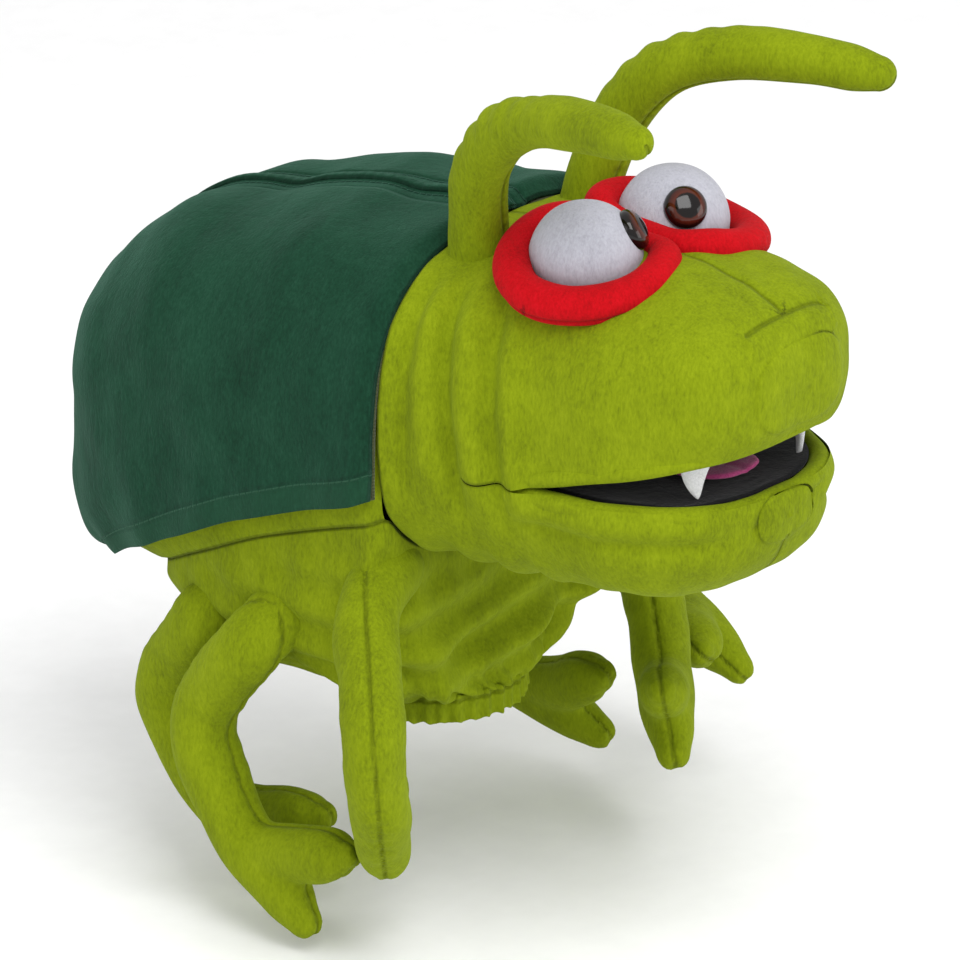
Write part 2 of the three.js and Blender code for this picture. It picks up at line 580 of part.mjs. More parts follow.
const headClear = offset(headWhole, GAP);
const bodyClear = offset(body, 2 * GAP + 0.2);
SIDES.forEach(({ side, sign }, i) => {
  const centre = eyeCentres[i];
  const turn = degrees(PUPIL_TURN);
  const lift = degrees(PUPIL_LIFT);
  const look = V(-sign * Math.sin(turn) * Math.cos(lift), -Math.cos(turn) * Math.cos(lift), Math.sin(lift));
  const aim = new THREE.Quaternion().setFromUnitVectors(V(0, 1, 0), look);
  const seat = centre.clone().addScaledVector(look, EYE_RADIUS + GAP);
  const place = new THREE.Matrix4().compose(seat, aim, V(1, 1, 1));
  const lathe = (points, matrix = place) => solid(
    new THREE.LatheGeometry(points.map(([r, h]) => new THREE.Vector2(r, h)), AROUND_EYE), matrix,
  );
  const domeArc = Array.from({ length: 5 }, (_, k) => {
    const angle = Math.PI / 2 * k / 4;
    return [BUTTON_RADIUS * Math.cos(angle), 1.2 + (BUTTON_DOME - 1.2) * Math.sin(angle)];
  });
  domeArc[domeArc.length - 1][0] = 0;
  const bed = sphere(EYE_RADIUS + GAP, centre);
  const button = lathe([
    [0, -STEM_LENGTH], [STEM_RADIUS, -STEM_LENGTH], [STEM_RADIUS, -2.4], [BUTTON_RADIUS, -2.4], ...domeArc,
  ]).subtract(bed.subtract(lathe([[0, -40], [STEM_RADIUS, -40], [STEM_RADIUS, 10], [0, 10]])));
  add(`eye_button_${side}`, button, EYE);
  const stemWay = lathe([[0, -40], [STEM_RADIUS + GAP, -40], [STEM_RADIUS + GAP, 10], [0, 10]]);
  const washerBack = -GAP - PLUSH - WASHER_DEPTH;
  const washer = (grow) => lathe([
    [0, washerBack - WASHER_THICKNESS - grow], [WASHER_RADIUS + grow, washerBack - WASHER_THICKNESS - grow],
    [WASHER_RADIUS + grow, washerBack + grow], [0, washerBack + grow],
  ]);
  add(`eye_washer_${side}`, washer(0).subtract(stemWay), PLASTIC);
  const openBottom = solid(
    new THREE.CylinderGeometry(EYE_RADIUS * 0.55, EYE_RADIUS * 0.55, 20, 16),
    new THREE.Matrix4().makeTranslation(centre.x, centre.y, centre.z - EYE_RADIUS)
      .multiply(new THREE.Matrix4().makeRotationX(Math.PI / 2)),
  );
  add(`eyeball_skin_${side}`, sphere(EYE_RADIUS, centre).subtract(sphere(EYE_RADIUS - PLUSH, centre))
    .subtract(openBottom).subtract(stemWay), WHITE);
  add(`eyeball_stuffing_${side}`, sphere(EYE_RADIUS - PLUSH - GAP, centre)
    .subtract(washer(GAP)).subtract(lathe([
      [0, -STEM_LENGTH - 1], [STEM_RADIUS + GAP, -STEM_LENGTH - 1], [STEM_RADIUS + GAP, 10], [0, 10],
    ])), FILL);
  const steps = 18;
  const ring = Array.from({ length: steps }, (_, k) => {
    const angle = 2 * Math.PI * k / steps;
    const x = sign * LID_REACH * Math.cos(angle);
    const along = (Math.sin(angle) > 0 ? LID_BACK_REACH : LID_REACH) * Math.sin(angle);
    return V(centre.x + x, centre.y + along, LID_Z - sign * x * LID_FALL
      + LID_BACK_RISE * (0.5 + 0.5 * Math.sin(angle)) ** 2);
  });
  const circle = new THREE.CatmullRomCurve3(ring, true);
  const section = new THREE.Shape(Array.from({ length: 8 }, (_, k) => {
    const angle = 2 * Math.PI * k / 8;
    return new THREE.Vector2(LID_RADIUS * Math.cos(angle), LID_RADIUS * Math.sin(angle));
  }));
  const roll = solid(new THREE.ExtrudeGeometry(section, { steps, extrudePath: circle }));
  const ownHalf = block([sign > 0 ? GAP / 2 : -far, -far, 0], [sign > 0 ? far : -GAP / 2, far, far]);
  add(`eyelid_${side}`, roll.intersect(ownHalf).subtract(headClear)
    .subtract(sphere(EYE_RADIUS + GAP, centre)), RED);
});

// ---------------------------------------------------------------- antennae

SIDES.forEach(({ side, sign }) => {
  const at = (spread, reach, height) => V(
    sign * (ANTENNA_X + ANTENNA_SPREAD * spread), ANTENNA_Y - ANTENNA_REACH * reach,
    ANTENNA_Z + ANTENNA_RISE * height - sign * ANTENNA_TIP_LIFT * reach ** 2,
  );
  const path = [
    at(0, 0, -0.14), at(0.08, 0.02, 0.22), at(0.24, 0.08, 0.54), at(0.36, 0.22, 0.81),
    at(0.54, 0.44, 0.96), at(0.74, 0.7, 1.02), at(1, 1, 1.04),
  ];
  const radius = profile([
    [0, ANTENNA_BASE_RADIUS], [0.4, ANTENNA_BASE_RADIUS - 0.8], [0.92, ANTENNA_TIP_RADIUS], [1, 4.5],
  ]);
  const outer = limb(path, radius, 14);
  const trim = offset(headWhole, ANTENNA_ROOT_GAP).add(offset(body, ANTENNA_ROOT_GAP));
  add(`antenna_skin_${side}`, outer.subtract(limb(path, radius, 14, { inset: PLUSH })).subtract(trim), LIME);
  add(`antenna_stuffing_${side}`, limb(path, radius, 14, { inset: PLUSH + GAP }).subtract(trim), FILL);
});

// ---------------------------------------------------------------- body: skins, stuffing, sleeve, cuff

// Everything above a line of (y, z) points that runs from the neck to the rear.
function above(points, drop = 0) {
  const curve = new THREE.SplineCurve(points.map(([y, z]) => new THREE.Vector2(y, z - drop)));
  return prism([...curve.getPoints(16).map((p) => [p.x, p.y]), [points.at(-1)[0], far], [points[0][0], far]]);
}
const hemFront = [[NECK_Y - 10, 126], [24, 100], [88, 68]];
const bellySeam = [...hemFront, [BODY_REAR_Y - 37, 40], [BODY_REAR_Y + 16, 6]];
// The wing cover's hem rises at the rear, so that the cover can lift.
const wingHem = [...hemFront, [BODY_REAR_Y - 37, 50], [BODY_REAR_Y - 14, 60], [BODY_REAR_Y + 16, 68]];

const bodyCore = offset(body, -PLUSH);
const bodyShell = body.subtract(bodyCore);
const behindNeck = block([-far, NECK_Y + SEAM_GAP, -far], [far, far, far]);
const frontWay = prism([[NECK_Y - 10, -far], [NECK_Y - 10, far], [NECK_Y + 6, far], [NECK_Y + 6, -far]]);
const neckMouth = offset(bodyAcrossY(
  [NECK_Y - 30, NECK_Y + PLUSH + 8], bodyHalfWidth, bodyTop, bodyBottom, bodyPower,
), -PLUSH);
const cuffWay = solid(
  new THREE.CylinderGeometry(CUFF_RADIUS, CUFF_RADIUS, 60, AROUND_BODY),
  new THREE.Matrix4().makeRotationX(Math.PI / 2),
);
const openShell = bodyShell.subtract(neckMouth.intersect(frontWay)).subtract(cuffWay);
add('torso_skin', openShell.intersect(above(bellySeam, BELLY_SEAM_DROP)), LIME);
add('belly_skin', openShell.subtract(above(bellySeam, BELLY_SEAM_DROP + SEAM_GAP)), LIME);

const sleevePath = [V(0, 0, CUFF_HEIGHT), V(0, 4, 45), V(0, 10, 90), V(0, -4, 135), V(0, NECK_Y + 2, 158)];
const sleeveTube = (wall) => limb(sleevePath, () => SLEEVE_RADIUS + wall, 8, { count: 16 });
const sleeve = sleeveTube(LINING).subtract(limb(
  [V(0, 0, -6), ...sleevePath.slice(1, 4), V(0, NECK_Y - 14, 164)], () => SLEEVE_RADIUS, 9, { count: 16 },
));
const aboveFill = block([-far, NECK_Y + 3, 66], [far, far, far]);
const abdomenFill = offset(body, -PLUSH - GAP).intersect(aboveFill)
  .subtract(sleeveTube(LINING + 1.2))
  .subtract(block([-SLEEVE_RADIUS, NECK_Y - 9, 118], [SLEEVE_RADIUS, NECK_Y + 22, 196]));
SIDES.forEach(({ side, sign }) => {
  const ownSide = block([sign > 0 ? GAP / 2 : -far, -far, -far], [sign > 0 ? far : -GAP / 2, far, far]);
  add(`hand_sleeve_${side}`, sleeve.intersect(behindNeck).intersect(ownSide), LINER);
  add(`abdomen_stuffing_${side}`, abdomenFill.intersect(ownSide), FILL);
});

const ring = (points) => solid(
  new THREE.LatheGeometry(points.map(([r, z]) => new THREE.Vector2(r, z)), AROUND_CUFF),
  new THREE.Matrix4().makeRotationX(Math.PI / 2),
);
const casingInner = CUFF_RADIUS - CUFF_DEPTH;
const slot = (grow) => [(CUFF_HEIGHT - ELASTIC_WIDTH) / 2 - grow, (CUFF_HEIGHT + ELASTIC_WIDTH) / 2 + grow];
const [slotLow, slotHigh] = slot(GAP);
const slotDepth = ELASTIC_THICKNESS + 2 * GAP;
add('cuff_casing', ring([
  [casingInner, 0], [CUFF_RADIUS, 0], [CUFF_RADIUS, CUFF_HEIGHT], [casingInner, CUFF_HEIGHT],
  [casingInner, slotHigh], [casingInner + slotDepth, slotHigh], [casingInner + slotDepth, slotLow],
  [casingInner, slotLow], [casingInner, 0],
]), LIME);
const [bandLow, bandHigh] = slot(0);
add('cuff_elastic', ring([
  [casingInner + GAP, bandLow], [casingInner + GAP + ELASTIC_THICKNESS, bandLow],
  [casingInner + GAP + ELASTIC_THICKNESS, bandHigh], [casingInner + GAP, bandHigh],
  [casingInner + GAP, bandLow],
]), RUBBER);

// ---------------------------------------------------------------- wing cover

const liningIn = offset(dome, WING_CLEARANCE);
const liningOut = offset(dome, WING_CLEARANCE + LINING);
const caseIn = offset(dome, WING_CLEARANCE + LINING + GAP);
const caseOut = offset(dome, WING_CLEARANCE + LINING + GAP + PLUSH);
const coverZone = above(wingHem).intersect(block([-far, WING_FRONT_Y, -far], [far, far, far]));
SIDES.forEach(({ side, sign }) => {
  const half = (edge) => block(
    [sign > 0 ? edge : -far, -far, -far], [sign > 0 ? far : -edge, far, far],
  );
  const ownHalf = half(WING_SEAM_HALF + GAP);
  add(`wing_case_${side}`, caseOut.subtract(caseIn).intersect(coverZone).intersect(ownHalf), GREEN);
  add(`wing_lining_${side}`, liningOut.subtract(liningIn).intersect(coverZone)
    .intersect(half(GAP / 2)), LINER);
});
const ridge = block([-WING_SEAM_HALF, -far, -far], [WING_SEAM_HALF, far, far]);
add('wing_seam_ridge', offset(dome, WING_CLEARANCE + LINING + GAP + PLUSH + 1.2).subtract(caseIn)
  .intersect(coverZone).intersect(ridge), GREEN);

// ---------------------------------------------------------------- legs

// Outlines in the leg's own plane, as shares of its length: toe direction, then height above the hip.
const legOutline = [
  [0, 0.1], [-0.057, -0.1], [-0.19, -0.29], [-0.27, -0.44], [-0.22, -0.63], [-0.086, -0.8],
  [0.057, -0.914], [0.143, -1],
];
const toeOutline = [[-0.07, -0.8], [0.1, -0.775], [0.22, -0.74], [0.31, -0.715]];
const legRadius = profile([[0, 0.98], [0.45, 1], [0.75, 0.94], [0.93, 0.74], [1, 0.4]]);
const toeRadius = profile([[0, 0.8], [0.7, 0.84], [0.92, 0.66], [1, 0.35]]);
LEG_HIPS.forEach(({ name, hip, turn, out, swing, size, axis, range }) => {
  const sign = Math.sign(hip[0]);
  const spin = new THREE.Matrix4().makeTranslation(...hip)
    .multiply(new THREE.Matrix4().makeRotationY(degrees(-sign * out)))
    .multiply(new THREE.Matrix4().makeRotationX(degrees(-swing)))
    .multiply(new THREE.Matrix4().makeRotationZ(degrees(turn)));
  const placed = (outline) => outline
    .map(([toe, z]) => V(0, -toe, z).multiplyScalar(LEG_LENGTH * size).applyMatrix4(spin));
  const side = V(1, 0, 0).transformDirection(spin);
  const thick = (radius) => (t) => radius(t) * LEG_RADIUS;
  const shape = (inset) => limb(placed(legOutline), thick(legRadius), 9, { side, squash: 0.9, inset })
    .add(limb(placed(toeOutline), thick(toeRadius), 4, { side, squash: 0.9, inset }));
  // The body as the leg meets it through its whole swing.
  const poses = Math.ceil((range[1] - range[0]) / SWEEP_STEP);
  const met = Array.from({ length: poses + 1 }, (_, i) => {
    const angle = [0, 0, 0];
    angle[axis] = -(range[0] + (range[1] - range[0]) * i / poses);
    return bodyClear.translate(hip.map((v) => -v)).rotate(angle).translate(hip);
  }).reduce((a, b) => a.add(b), bodyClear);
  add(`leg_skin_${name}`, shape(0).subtract(shape(PLUSH)).subtract(met), LIME);
  add(`leg_stuffing_${name}`, shape(PLUSH + LEG_FILL_GAP).subtract(met), FILL);
});

export default group;
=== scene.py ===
"""A plush beetle hand puppet: sewn plush over stuffing, two cloth wing cases, a lined mouth and six legs.

Sizes are in millimetres and become metres when a mesh is made. +Z is up and the nose faces -Y.
"""

import math

import bmesh
import bpy
import numpy as np
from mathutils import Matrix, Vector


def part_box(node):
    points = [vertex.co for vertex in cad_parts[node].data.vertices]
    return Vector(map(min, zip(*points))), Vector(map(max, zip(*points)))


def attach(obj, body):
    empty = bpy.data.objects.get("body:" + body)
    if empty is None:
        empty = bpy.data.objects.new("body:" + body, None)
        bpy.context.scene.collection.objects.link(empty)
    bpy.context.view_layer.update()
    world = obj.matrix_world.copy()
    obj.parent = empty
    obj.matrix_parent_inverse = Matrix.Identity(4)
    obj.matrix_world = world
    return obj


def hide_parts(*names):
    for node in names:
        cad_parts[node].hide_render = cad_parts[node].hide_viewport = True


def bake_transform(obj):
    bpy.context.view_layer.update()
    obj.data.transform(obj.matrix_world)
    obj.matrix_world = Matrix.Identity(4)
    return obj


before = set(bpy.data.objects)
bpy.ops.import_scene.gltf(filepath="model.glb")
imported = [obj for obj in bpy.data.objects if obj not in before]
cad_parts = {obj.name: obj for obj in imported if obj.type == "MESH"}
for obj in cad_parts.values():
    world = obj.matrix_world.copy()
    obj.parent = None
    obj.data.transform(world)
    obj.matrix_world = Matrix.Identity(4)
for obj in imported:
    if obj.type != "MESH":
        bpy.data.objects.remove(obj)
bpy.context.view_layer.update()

MM = 0.001
UP = np.array([0.0, 0.0, 1.0])

# ---- body ----
NECK_Y = -41.0
HEAD_START_Y = -78.0
BODY_REAR_Y = 174.0
BODY_HALF_WIDTH = 87.0
BODY_TOP_Z = 222.0
BODY_POWER = 3.0
WING_STAND = 7.6
WING_FRONT_Y = -41.0
LINING_SET_IN = 4.2
HEM_RIPPLE = 40.8
RIDGE_HALF_WIDTH = 3.4
BELLY_SEAM_DROP = 12.0

# ---- cuff ----
CUFF_RADIUS = 40.0
CUFF_HEIGHT = 13.0
CUFF_DEPTH = 4.6
SLEEVE_RADIUS = 33.0

# ---- head and mouth ----
HEAD_POWER = 2.7
MOUTH_Y = -102.0
MOUTH_Z = 139.0
MOUTH_OPEN = math.radians(15)
NOSE_Y = -193.0
CHIN_Y = -187.0
HEAD_HALF_WIDTH = 70.0
HEAD_TOP_Z = 229.0
JAW_BOTTOM_Z = 83.0
MOUTH_HALF_WIDTH = 58.5
MOUTH_LENGTH = 76.0
UPPER_LIP_RADIUS = 3.6
LOWER_LIP_RADIUS = 4.6
NOSE_PANEL_DEPTH = 8.0

# ---- eyes ----
EYE_X = 28.0
EYE_Y = -105.0
EYE_Z = 228.0
EYE_RADIUS = 23.3
PUPIL_TURN = math.radians(36)
PUPIL_LIFT = math.radians(32)
BUTTON_RADIUS = 9.0
BUTTON_DOME = 6.0
LID_RADIUS = 7.9
LID_REACH = 32.0
LID_BACK_REACH = 28.0
LID_Z = 223.5
LID_BACK_RISE = 8.0
LID_FALL = 0.2
LID_MEETING_X = 4.6
LID_MEETING_SOFTNESS = 2.0
LID_SEAM_TURN = 0.9

# ---- fangs, tongue ----
FANG_X = 33.0
FANG_Y = -168.0
FANG_LENGTH = 18.0
FANG_WIDTH = 14.0
TONGUE_ROOT = 27.0
TONGUE_HALF_WIDTH = 17.0
TONGUE_LENGTH = 38.0

# ---- antennae ----
ANTENNA_X = 34.0
ANTENNA_Y = -54.0
ANTENNA_Z = 217.0
ANTENNA_BASE_RADIUS = 12.4
ANTENNA_TIP_RADIUS = 9.6
ANTENNA_RISE = 80.0
ANTENNA_REACH = 126.0
ANTENNA_SPREAD = 47.0
ANTENNA_TIP_LIFT = 8.0

# ---- legs ----
LEG_RADIUS = 15.0
LEG_LENGTH = 140.0
LEG_SUNK = 17.0
# hip, turn about Z, lean outwards and swing in degrees, and size
LEGS = {
    "front_right": ((-80, -31, 86), 130, 4, 8, 0.94),
    "front_left": ((84, -37, 86), -50, 1, 11, 0.9),
    "middle_right": ((-85, 17, 60), 0, 0, 0, 1.0),
    "middle_left": ((84, 22, 60), -28, 43, 19, 0.96),
    "rear_right": ((-70, 58, 54), 0, -9, 0, 1.0),
    "rear_left": ((70, 56, 50), 0, 25, 12, 0.96),
}

SIDES = (("right", -1.0), ("left", 1.0))


# ---------------------------------------------------------------- curves and profiles


def profile(stations):
    """A smooth curve through (position, value) stations: cubic pieces whose slopes are harmonic means, so
    it never overshoots."""
    x, y = np.array(stations, float).T
    slope = np.diff(y) / np.diff(x)
    safe = np.where(slope == 0, 1e-12, slope)
    inner = np.where(safe[:-1] * safe[1:] > 0, 2 / (1 / safe[:-1] + 1 / safe[1:]), 0)
    tangent = np.concatenate([[slope[0]], inner, [slope[-1]]])

    def at(position):
        p = np.clip(position, x[0], x[-1])
        i = np.clip(np.searchsorted(x, p) - 1, 0, len(x) - 2)
        width = x[i + 1] - x[i]
        t = (p - x[i]) / width
        return (
            (1 + 2 * t) * (1 - t) ** 2 * y[i]
            + t * (1 - t) ** 2 * width * tangent[i]
            + t * t * (3 - 2 * t) * y[i + 1]
            + t * t * (t - 1) * width * tangent[i + 1]
        )

    return at


def spread(points, count):
    """The points of a polyline, respaced so that neighbours are the same distance apart."""
    step = np.r_[0, np.cumsum(np.linalg.norm(np.diff(points, axis=0), axis=1))]
    at = np.linspace(0, step[-1], count)
    return np.stack([np.interp(at, step, points[:, k]) for k in range(3)], -1)


def threaded(points, count):
    """A centripetal Catmull-Rom curve: each span is the cubic whose end slopes come from square-root spaced
    neighbours."""
    p = np.array(points, float)
    p = np.vstack([2 * p[0] - p[1], p, 2 * p[-1] - p[-2]])
    t = np.linspace(0, 1, 60)[:, None]
    spans = []
    for a, b, c, d in zip(p[:-3], p[1:-2], p[2:-1], p[3:]):
        ab, bc, cd = (math.sqrt(np.linalg.norm(v)) for v in (b - a, c - b, d - c))
        leave = ((b - a) / ab - (c - a) / (ab + bc) + (c - b) / bc) * bc
        arrive = ((c - b) / bc - (d - b) / (bc + cd) + (d - c) / cd) * bc
        spans.append(
            (2 * t**3 - 3 * t**2 + 1) * b
            + (t**3 - 2 * t**2 + t) * leave
            + (3 * t**2 - 2 * t**3) * c
            + (t**3 - t**2) * arrive
        )
    return spread(np.vstack(spans), count)


def unit(v):
    return v / np.maximum(np.linalg.norm(v, axis=-1, keepdims=True), 1e-9)


def ease(x, low, high):
    """0 below low, 1 above high, and 3t^2 - 2t^3 between."""
    t = np.clip((x - low) / (high - low), 0, 1)
    return t * t * (3 - 2 * t)


def bump(x, width):
    """A bell: e to the power of minus (x over width) squared."""
    return np.exp(-((x / width) ** 2))


def unevenness(points, size, seed, waves=9):
    """Soft hand-made irregularity from -1 to 1: a sum of sine waves in seeded directions, about size
    millimetres long."""
    rng = np.random.default_rng(seed)
    direction = unit(rng.normal(size=(waves, 3))) * (2 * np.pi / size)
    direction *= rng.uniform(0.6, 1.5, size=(waves, 1))
    phase = rng.uniform(0, 2 * np.pi, size=waves)
    return np.sin(points @ direction.T + phase).sum(-1) / math.sqrt(waves) * 0.8


# ---------------------------------------------------------------- surfaces


def grid_normals(grid):
    """Unit normals of a grid of points: the cross product of its differences both ways."""
    return unit(np.cross(np.gradient(grid, axis=0), np.gradient(grid, axis=1)))


def raised(grid, height, centre=None):
    """The grid moved along its normals by height, outwards from its centre."""
    normal = grid_normals(grid)
    middle = grid.reshape(-1, 3).mean(0) if centre is None else np.array(centre, float)
    if (normal * (grid - middle)).sum() < 0:
        normal = -normal
    return grid + normal * np.asarray(height)[..., None]


def surface(name, grid, marks=None, wrap=False, outward=True, weld=0.02):
    """A mesh of quads over a grid of points in millimetres. marks are named numbers for each point, in
    metres, kept as attributes."""
    rows, columns = grid.shape[:2]
    index = np.arange(rows * columns).reshape(rows, columns)
    if wrap:
        index = np.hstack([index, index[:, :1]])
    quads = np.stack(
        [index[:-1, :-1], index[:-1, 1:], index[1:, 1:], index[1:, :-1]], -1
    ).reshape(-1, 4)
    return solid_mesh(
        name,
        grid.reshape(-1, 3),
        quads,
        {k: np.asarray(v).reshape(-1) for k, v in (marks or {}).items()},
        outward,
        weld,
    )


def solid_mesh(name, points, faces, marks=None, outward=True, weld=0.02):
    """Puts points and faces into a mesh object at the origin, merges doubled points, and turns the faces
    outwards."""
    mesh = bpy.data.meshes.new(name)
    mesh.from_pydata((points * MM).tolist(), [], faces.tolist())
    for key, values in (marks or {}).items():
        layer = mesh.attributes.new(key, "FLOAT", "POINT")
        layer.data.foreach_set("value", values.astype(np.float32))
    work = bmesh.new()
    work.from_mesh(mesh)
    if weld:
        bmesh.ops.remove_doubles(work, verts=work.verts, dist=weld * MM)
    bmesh.ops.dissolve_degenerate(work, edges=work.edges, dist=0.001 * MM)
    middle = sum((f.calc_center_median() for f in work.faces), Vector()) / len(work.faces)
    lean = sum(f.normal.dot(f.calc_center_median() - middle) * f.calc_area() for f in work.faces)
    if (lean < 0) == outward:
        bmesh.ops.reverse_faces(work, faces=work.faces)
    work.to_mesh(mesh)
    work.free()
    mesh.polygons.foreach_set("use_smooth", np.ones(len(mesh.polygons), bool))
    made = bpy.data.objects.new(name, mesh)
    bpy.context.scene.collection.objects.link(made)
    return made


def joined(name, parts):
    """Several objects made into one, with the first one's materials."""
    work = bmesh.new()
    for part in parts:
        work.from_mesh(part.data)
    mesh = bpy.data.meshes.new(name)
    work.to_mesh(mesh)
    work.free()
    mesh.polygons.foreach_set("use_smooth", np.ones(len(mesh.polygons), bool))
    for material in parts[0].data.materials:
        mesh.materials.append(material)
    for part in parts:
        bpy.data.objects.remove(part)
    made = bpy.data.objects.new(name, mesh)
    bpy.context.scene.collection.objects.link(made)
    return made


def thick(piece, depth):
    """Gives a sheet its cloth thickness, on its inner side."""
    wall = piece.modifiers.new("cloth", "SOLIDIFY")
    wall.thickness = depth * MM
    wall.offset = -1
    wall.use_rim = True
    return piece


def coordinates(piece):
    flat = np.empty(len(piece.data.vertices) * 3)
    piece.data.vertices.foreach_get("co", flat)
    return flat.reshape(-1, 3) / MM


def arcs(y, half, top, bottom, power, border, keep, count):
    """Sections across Y. Each is the superellipse |x/half|^power + |z/height|^power = 1, kept above or
    below a border height, and walked in equal steps from its right end, over the pole, to its left end.
    Gives the points and each half's length."""
    angle = np.linspace(0, np.pi, 900)
    sign = 1.0 if keep == "above" else -1.0
    t = np.linspace(-1, 1, count)
    rows, lengths = [], []
    for yi, hi, ti, bi, edge in zip(y, half, top, bottom, border):
        across = hi * np.sin(angle) ** (2 / power)
        up = (
            (ti + bi) / 2
            + sign * (ti - bi) / 2 * np.sign(np.cos(angle)) * np.abs(np.cos(angle)) ** (2 / power)
        )
        step = np.r_[0, np.cumsum(np.hypot(np.diff(across), np.diff(up)))]
        end = np.interp(-sign * edge, -sign * up, step) if np.isfinite(edge) else step[-1]
        at = np.abs(t) * end
        rows.append(
            np.stack(
                [np.sign(t) * np.interp(at, step, across), np.full(count, yi), np.interp(at, step, up)], -1
            )
        )
        lengths.append(end)
    return np.array(rows), np.array(lengths)


def stations(start, end, count, bulge=0.0, rows=10):
    """Positions from start to end, then a rounded cap that goes bulge further: y = end + bulge sin a, and
    scale = cos a."""
    a = np.linspace(0, np.pi / 2, rows + 1)[1:]
    y = np.r_[np.linspace(start, end, count), end + np.sign(end - start) * bulge * np.sin(a)]
    return y, np.r_[np.ones(count), np.cos(a)]


def shell(y, scale, shape, power, border, keep, count, grow=0.0):
    """Sections of a half-width, top and bottom given as functions of y, shrunk about their middle height by
    scale."""
    half, top, bottom = (f(y) for f in shape)
    middle = (top + bottom) / 2
    return arcs(
        y,
        (half + grow) * scale,
        middle + (top + grow - middle) * scale,
        middle + (bottom - grow - middle) * scale,
        power,
        border,
        keep,
        count,
    )


def tube(
    name,
    path,
    radius,
    around=40,
    side=(1, 0, 0),
    squash=1.0,
    caps=(True, True),
    cap_rows=7,
    marks=True,
    lumps=None,
):
    """A tube: rings of radius r along a path, flattened by squash towards side, with rounded ends of length
    r sin a."""
    path = np.asarray(path, float)
    radius = np.broadcast_to(np.asarray(radius, float), (len(path),)).copy()
    along = unit(np.gradient(path, axis=0))
    a = np.linspace(0, np.pi / 2, cap_rows + 1)[1:]
    if caps[0]:
        path = np.vstack([path[0] - along[0] * (radius[0] * np.sin(a[::-1]))[:, None], path])
        along = np.vstack([np.repeat(along[:1], cap_rows, 0), along])
        radius = np.r_[radius[0] * np.cos(a[::-1]), radius]
    if caps[1]:
        path = np.vstack([path, path[-1] + along[-1] * (radius[-1] * np.sin(a))[:, None]])
        along = np.vstack([along, np.repeat(along[-1:], cap_rows, 0)])
        radius = np.r_[radius, radius[-1] * np.cos(a)]
    side = np.asarray(side, float)
    across = unit(side - along * (along @ side)[:, None])
    third = np.cross(along, across)
    turn = np.linspace(0, 2 * np.pi, around, endpoint=False)
    ring = (
        across[:, None] * np.cos(turn)[None, :, None] * squash
        + third[:, None] * np.sin(turn)[None, :, None]
    )
    size = radius[:, None] * np.ones(around)
    if lumps is not None:
        size = size + lumps(path, turn) * np.minimum(radius / max(radius.max(), 1e-6) * 1.6, 1)[:, None]
    grid = path[:, None] + ring * size[..., None]
    run = np.r_[0, np.cumsum(np.linalg.norm(np.diff(path, axis=0), axis=1))]
    near = np.abs((turn + np.pi) % (2 * np.pi) - np.pi)
    given = {}
    if marks:
        given["seam"] = radius[:, None] * near[None] * MM
        given["run"] = np.repeat(run[:, None], around, 1) * MM
    return surface(name, grid, given, wrap=True)


# ---------------------------------------------------------------- materials


class Web:
    """A node tree with short calls for the nodes used here."""

    def __init__(self, tree):
        self.tree = tree

    def add(self, kind, **values):
        node = self.tree.nodes.new(kind)
        for key, value in values.items():
            setattr(node, key, value)
        return node

    def link(self, a, b):
        self.tree.links.new(a, b)

    def put(self, socket, value):
        if isinstance(value, bpy.types.NodeSocket):
            self.link(value, socket)
        else:
            socket.default_value = value

    def math(self, operation, *values, clamp=False):
        node = self.add("ShaderNodeMath", operation=operation, use_clamp=clamp)
        for socket, value in zip(node.inputs, values):
            self.put(socket, value)
        return node.outputs[0]

    def noise(self, vector, scale, detail=2.0, roughness=0.55, distortion=0.0):
        node = self.add("ShaderNodeTexNoise")
        self.link(vector, node.inputs["Vector"])
        self.put(node.inputs["Scale"], scale)
        node.inputs["Detail"].default_value = detail
        node.inputs["Roughness"].default_value = roughness
        node.inputs["Distortion"].default_value = distortion
        return node.outputs["Fac"]

    def place(self, scale=(1, 1, 1), rotation=(0, 0, 0)):
        node = self.add("ShaderNodeMapping")
        self.link(self.add("ShaderNodeTexCoord").outputs["Object"], node.inputs["Vector"])
        node.inputs["Scale"].default_value = scale
        node.inputs["Rotation"].default_value = rotation
        return node.outputs["Vector"]

    def mark(self, name):
        return self.add("ShaderNodeAttribute", attribute_name=name).outputs["Fac"]

    def ramp(self, value, stops):
        node = self.add("ShaderNodeValToRGB")
        first, last = node.color_ramp.elements[0], node.color_ramp.elements[-1]
        first.position, last.position = stops[0][0], stops[-1][0]
        first.color, last.color = (*stops[0][1], 1), (*stops[-1][1], 1)
        for position, colour in stops[1:-1]:
            node.color_ramp.elements.new(position).color = (*colour, 1)
        self.link(value, node.inputs["Fac"])
        return node.outputs["Color"]

    def mix(self, factor, below, above):
        """The colour below, covered by the colour above where the factor is 1."""
        node = self.add("ShaderNodeMix", data_type="RGBA")
        self.put(node.inputs["Factor"], factor)
        self.put(node.inputs[6], below)
        self.put(node.inputs[7], (*above, 1))
        return node.outputs[2]

    def bell(self, distance, width):
        """e to the power of minus (distance over width) squared."""
        ratio = self.math("DIVIDE", distance, width)
        return self.math("EXPONENT", self.math("MULTIPLY", self.math("MULTIPLY", ratio, ratio), -1.0))


def node_group(name, inputs, outputs):
    tree = bpy.data.node_groups.new(name, "ShaderNodeTree")
    for label, value in inputs:
        socket = tree.interface.new_socket(name=label, in_out="INPUT", socket_type="NodeSocketFloat")
        socket.default_value = value
    for label in outputs:
        tree.interface.new_socket(name=label, in_out="OUTPUT", socket_type="NodeSocketFloat")
    web = Web(tree)
    return tree, web, web.add("NodeGroupInput").outputs, web.add("NodeGroupOutput").inputs


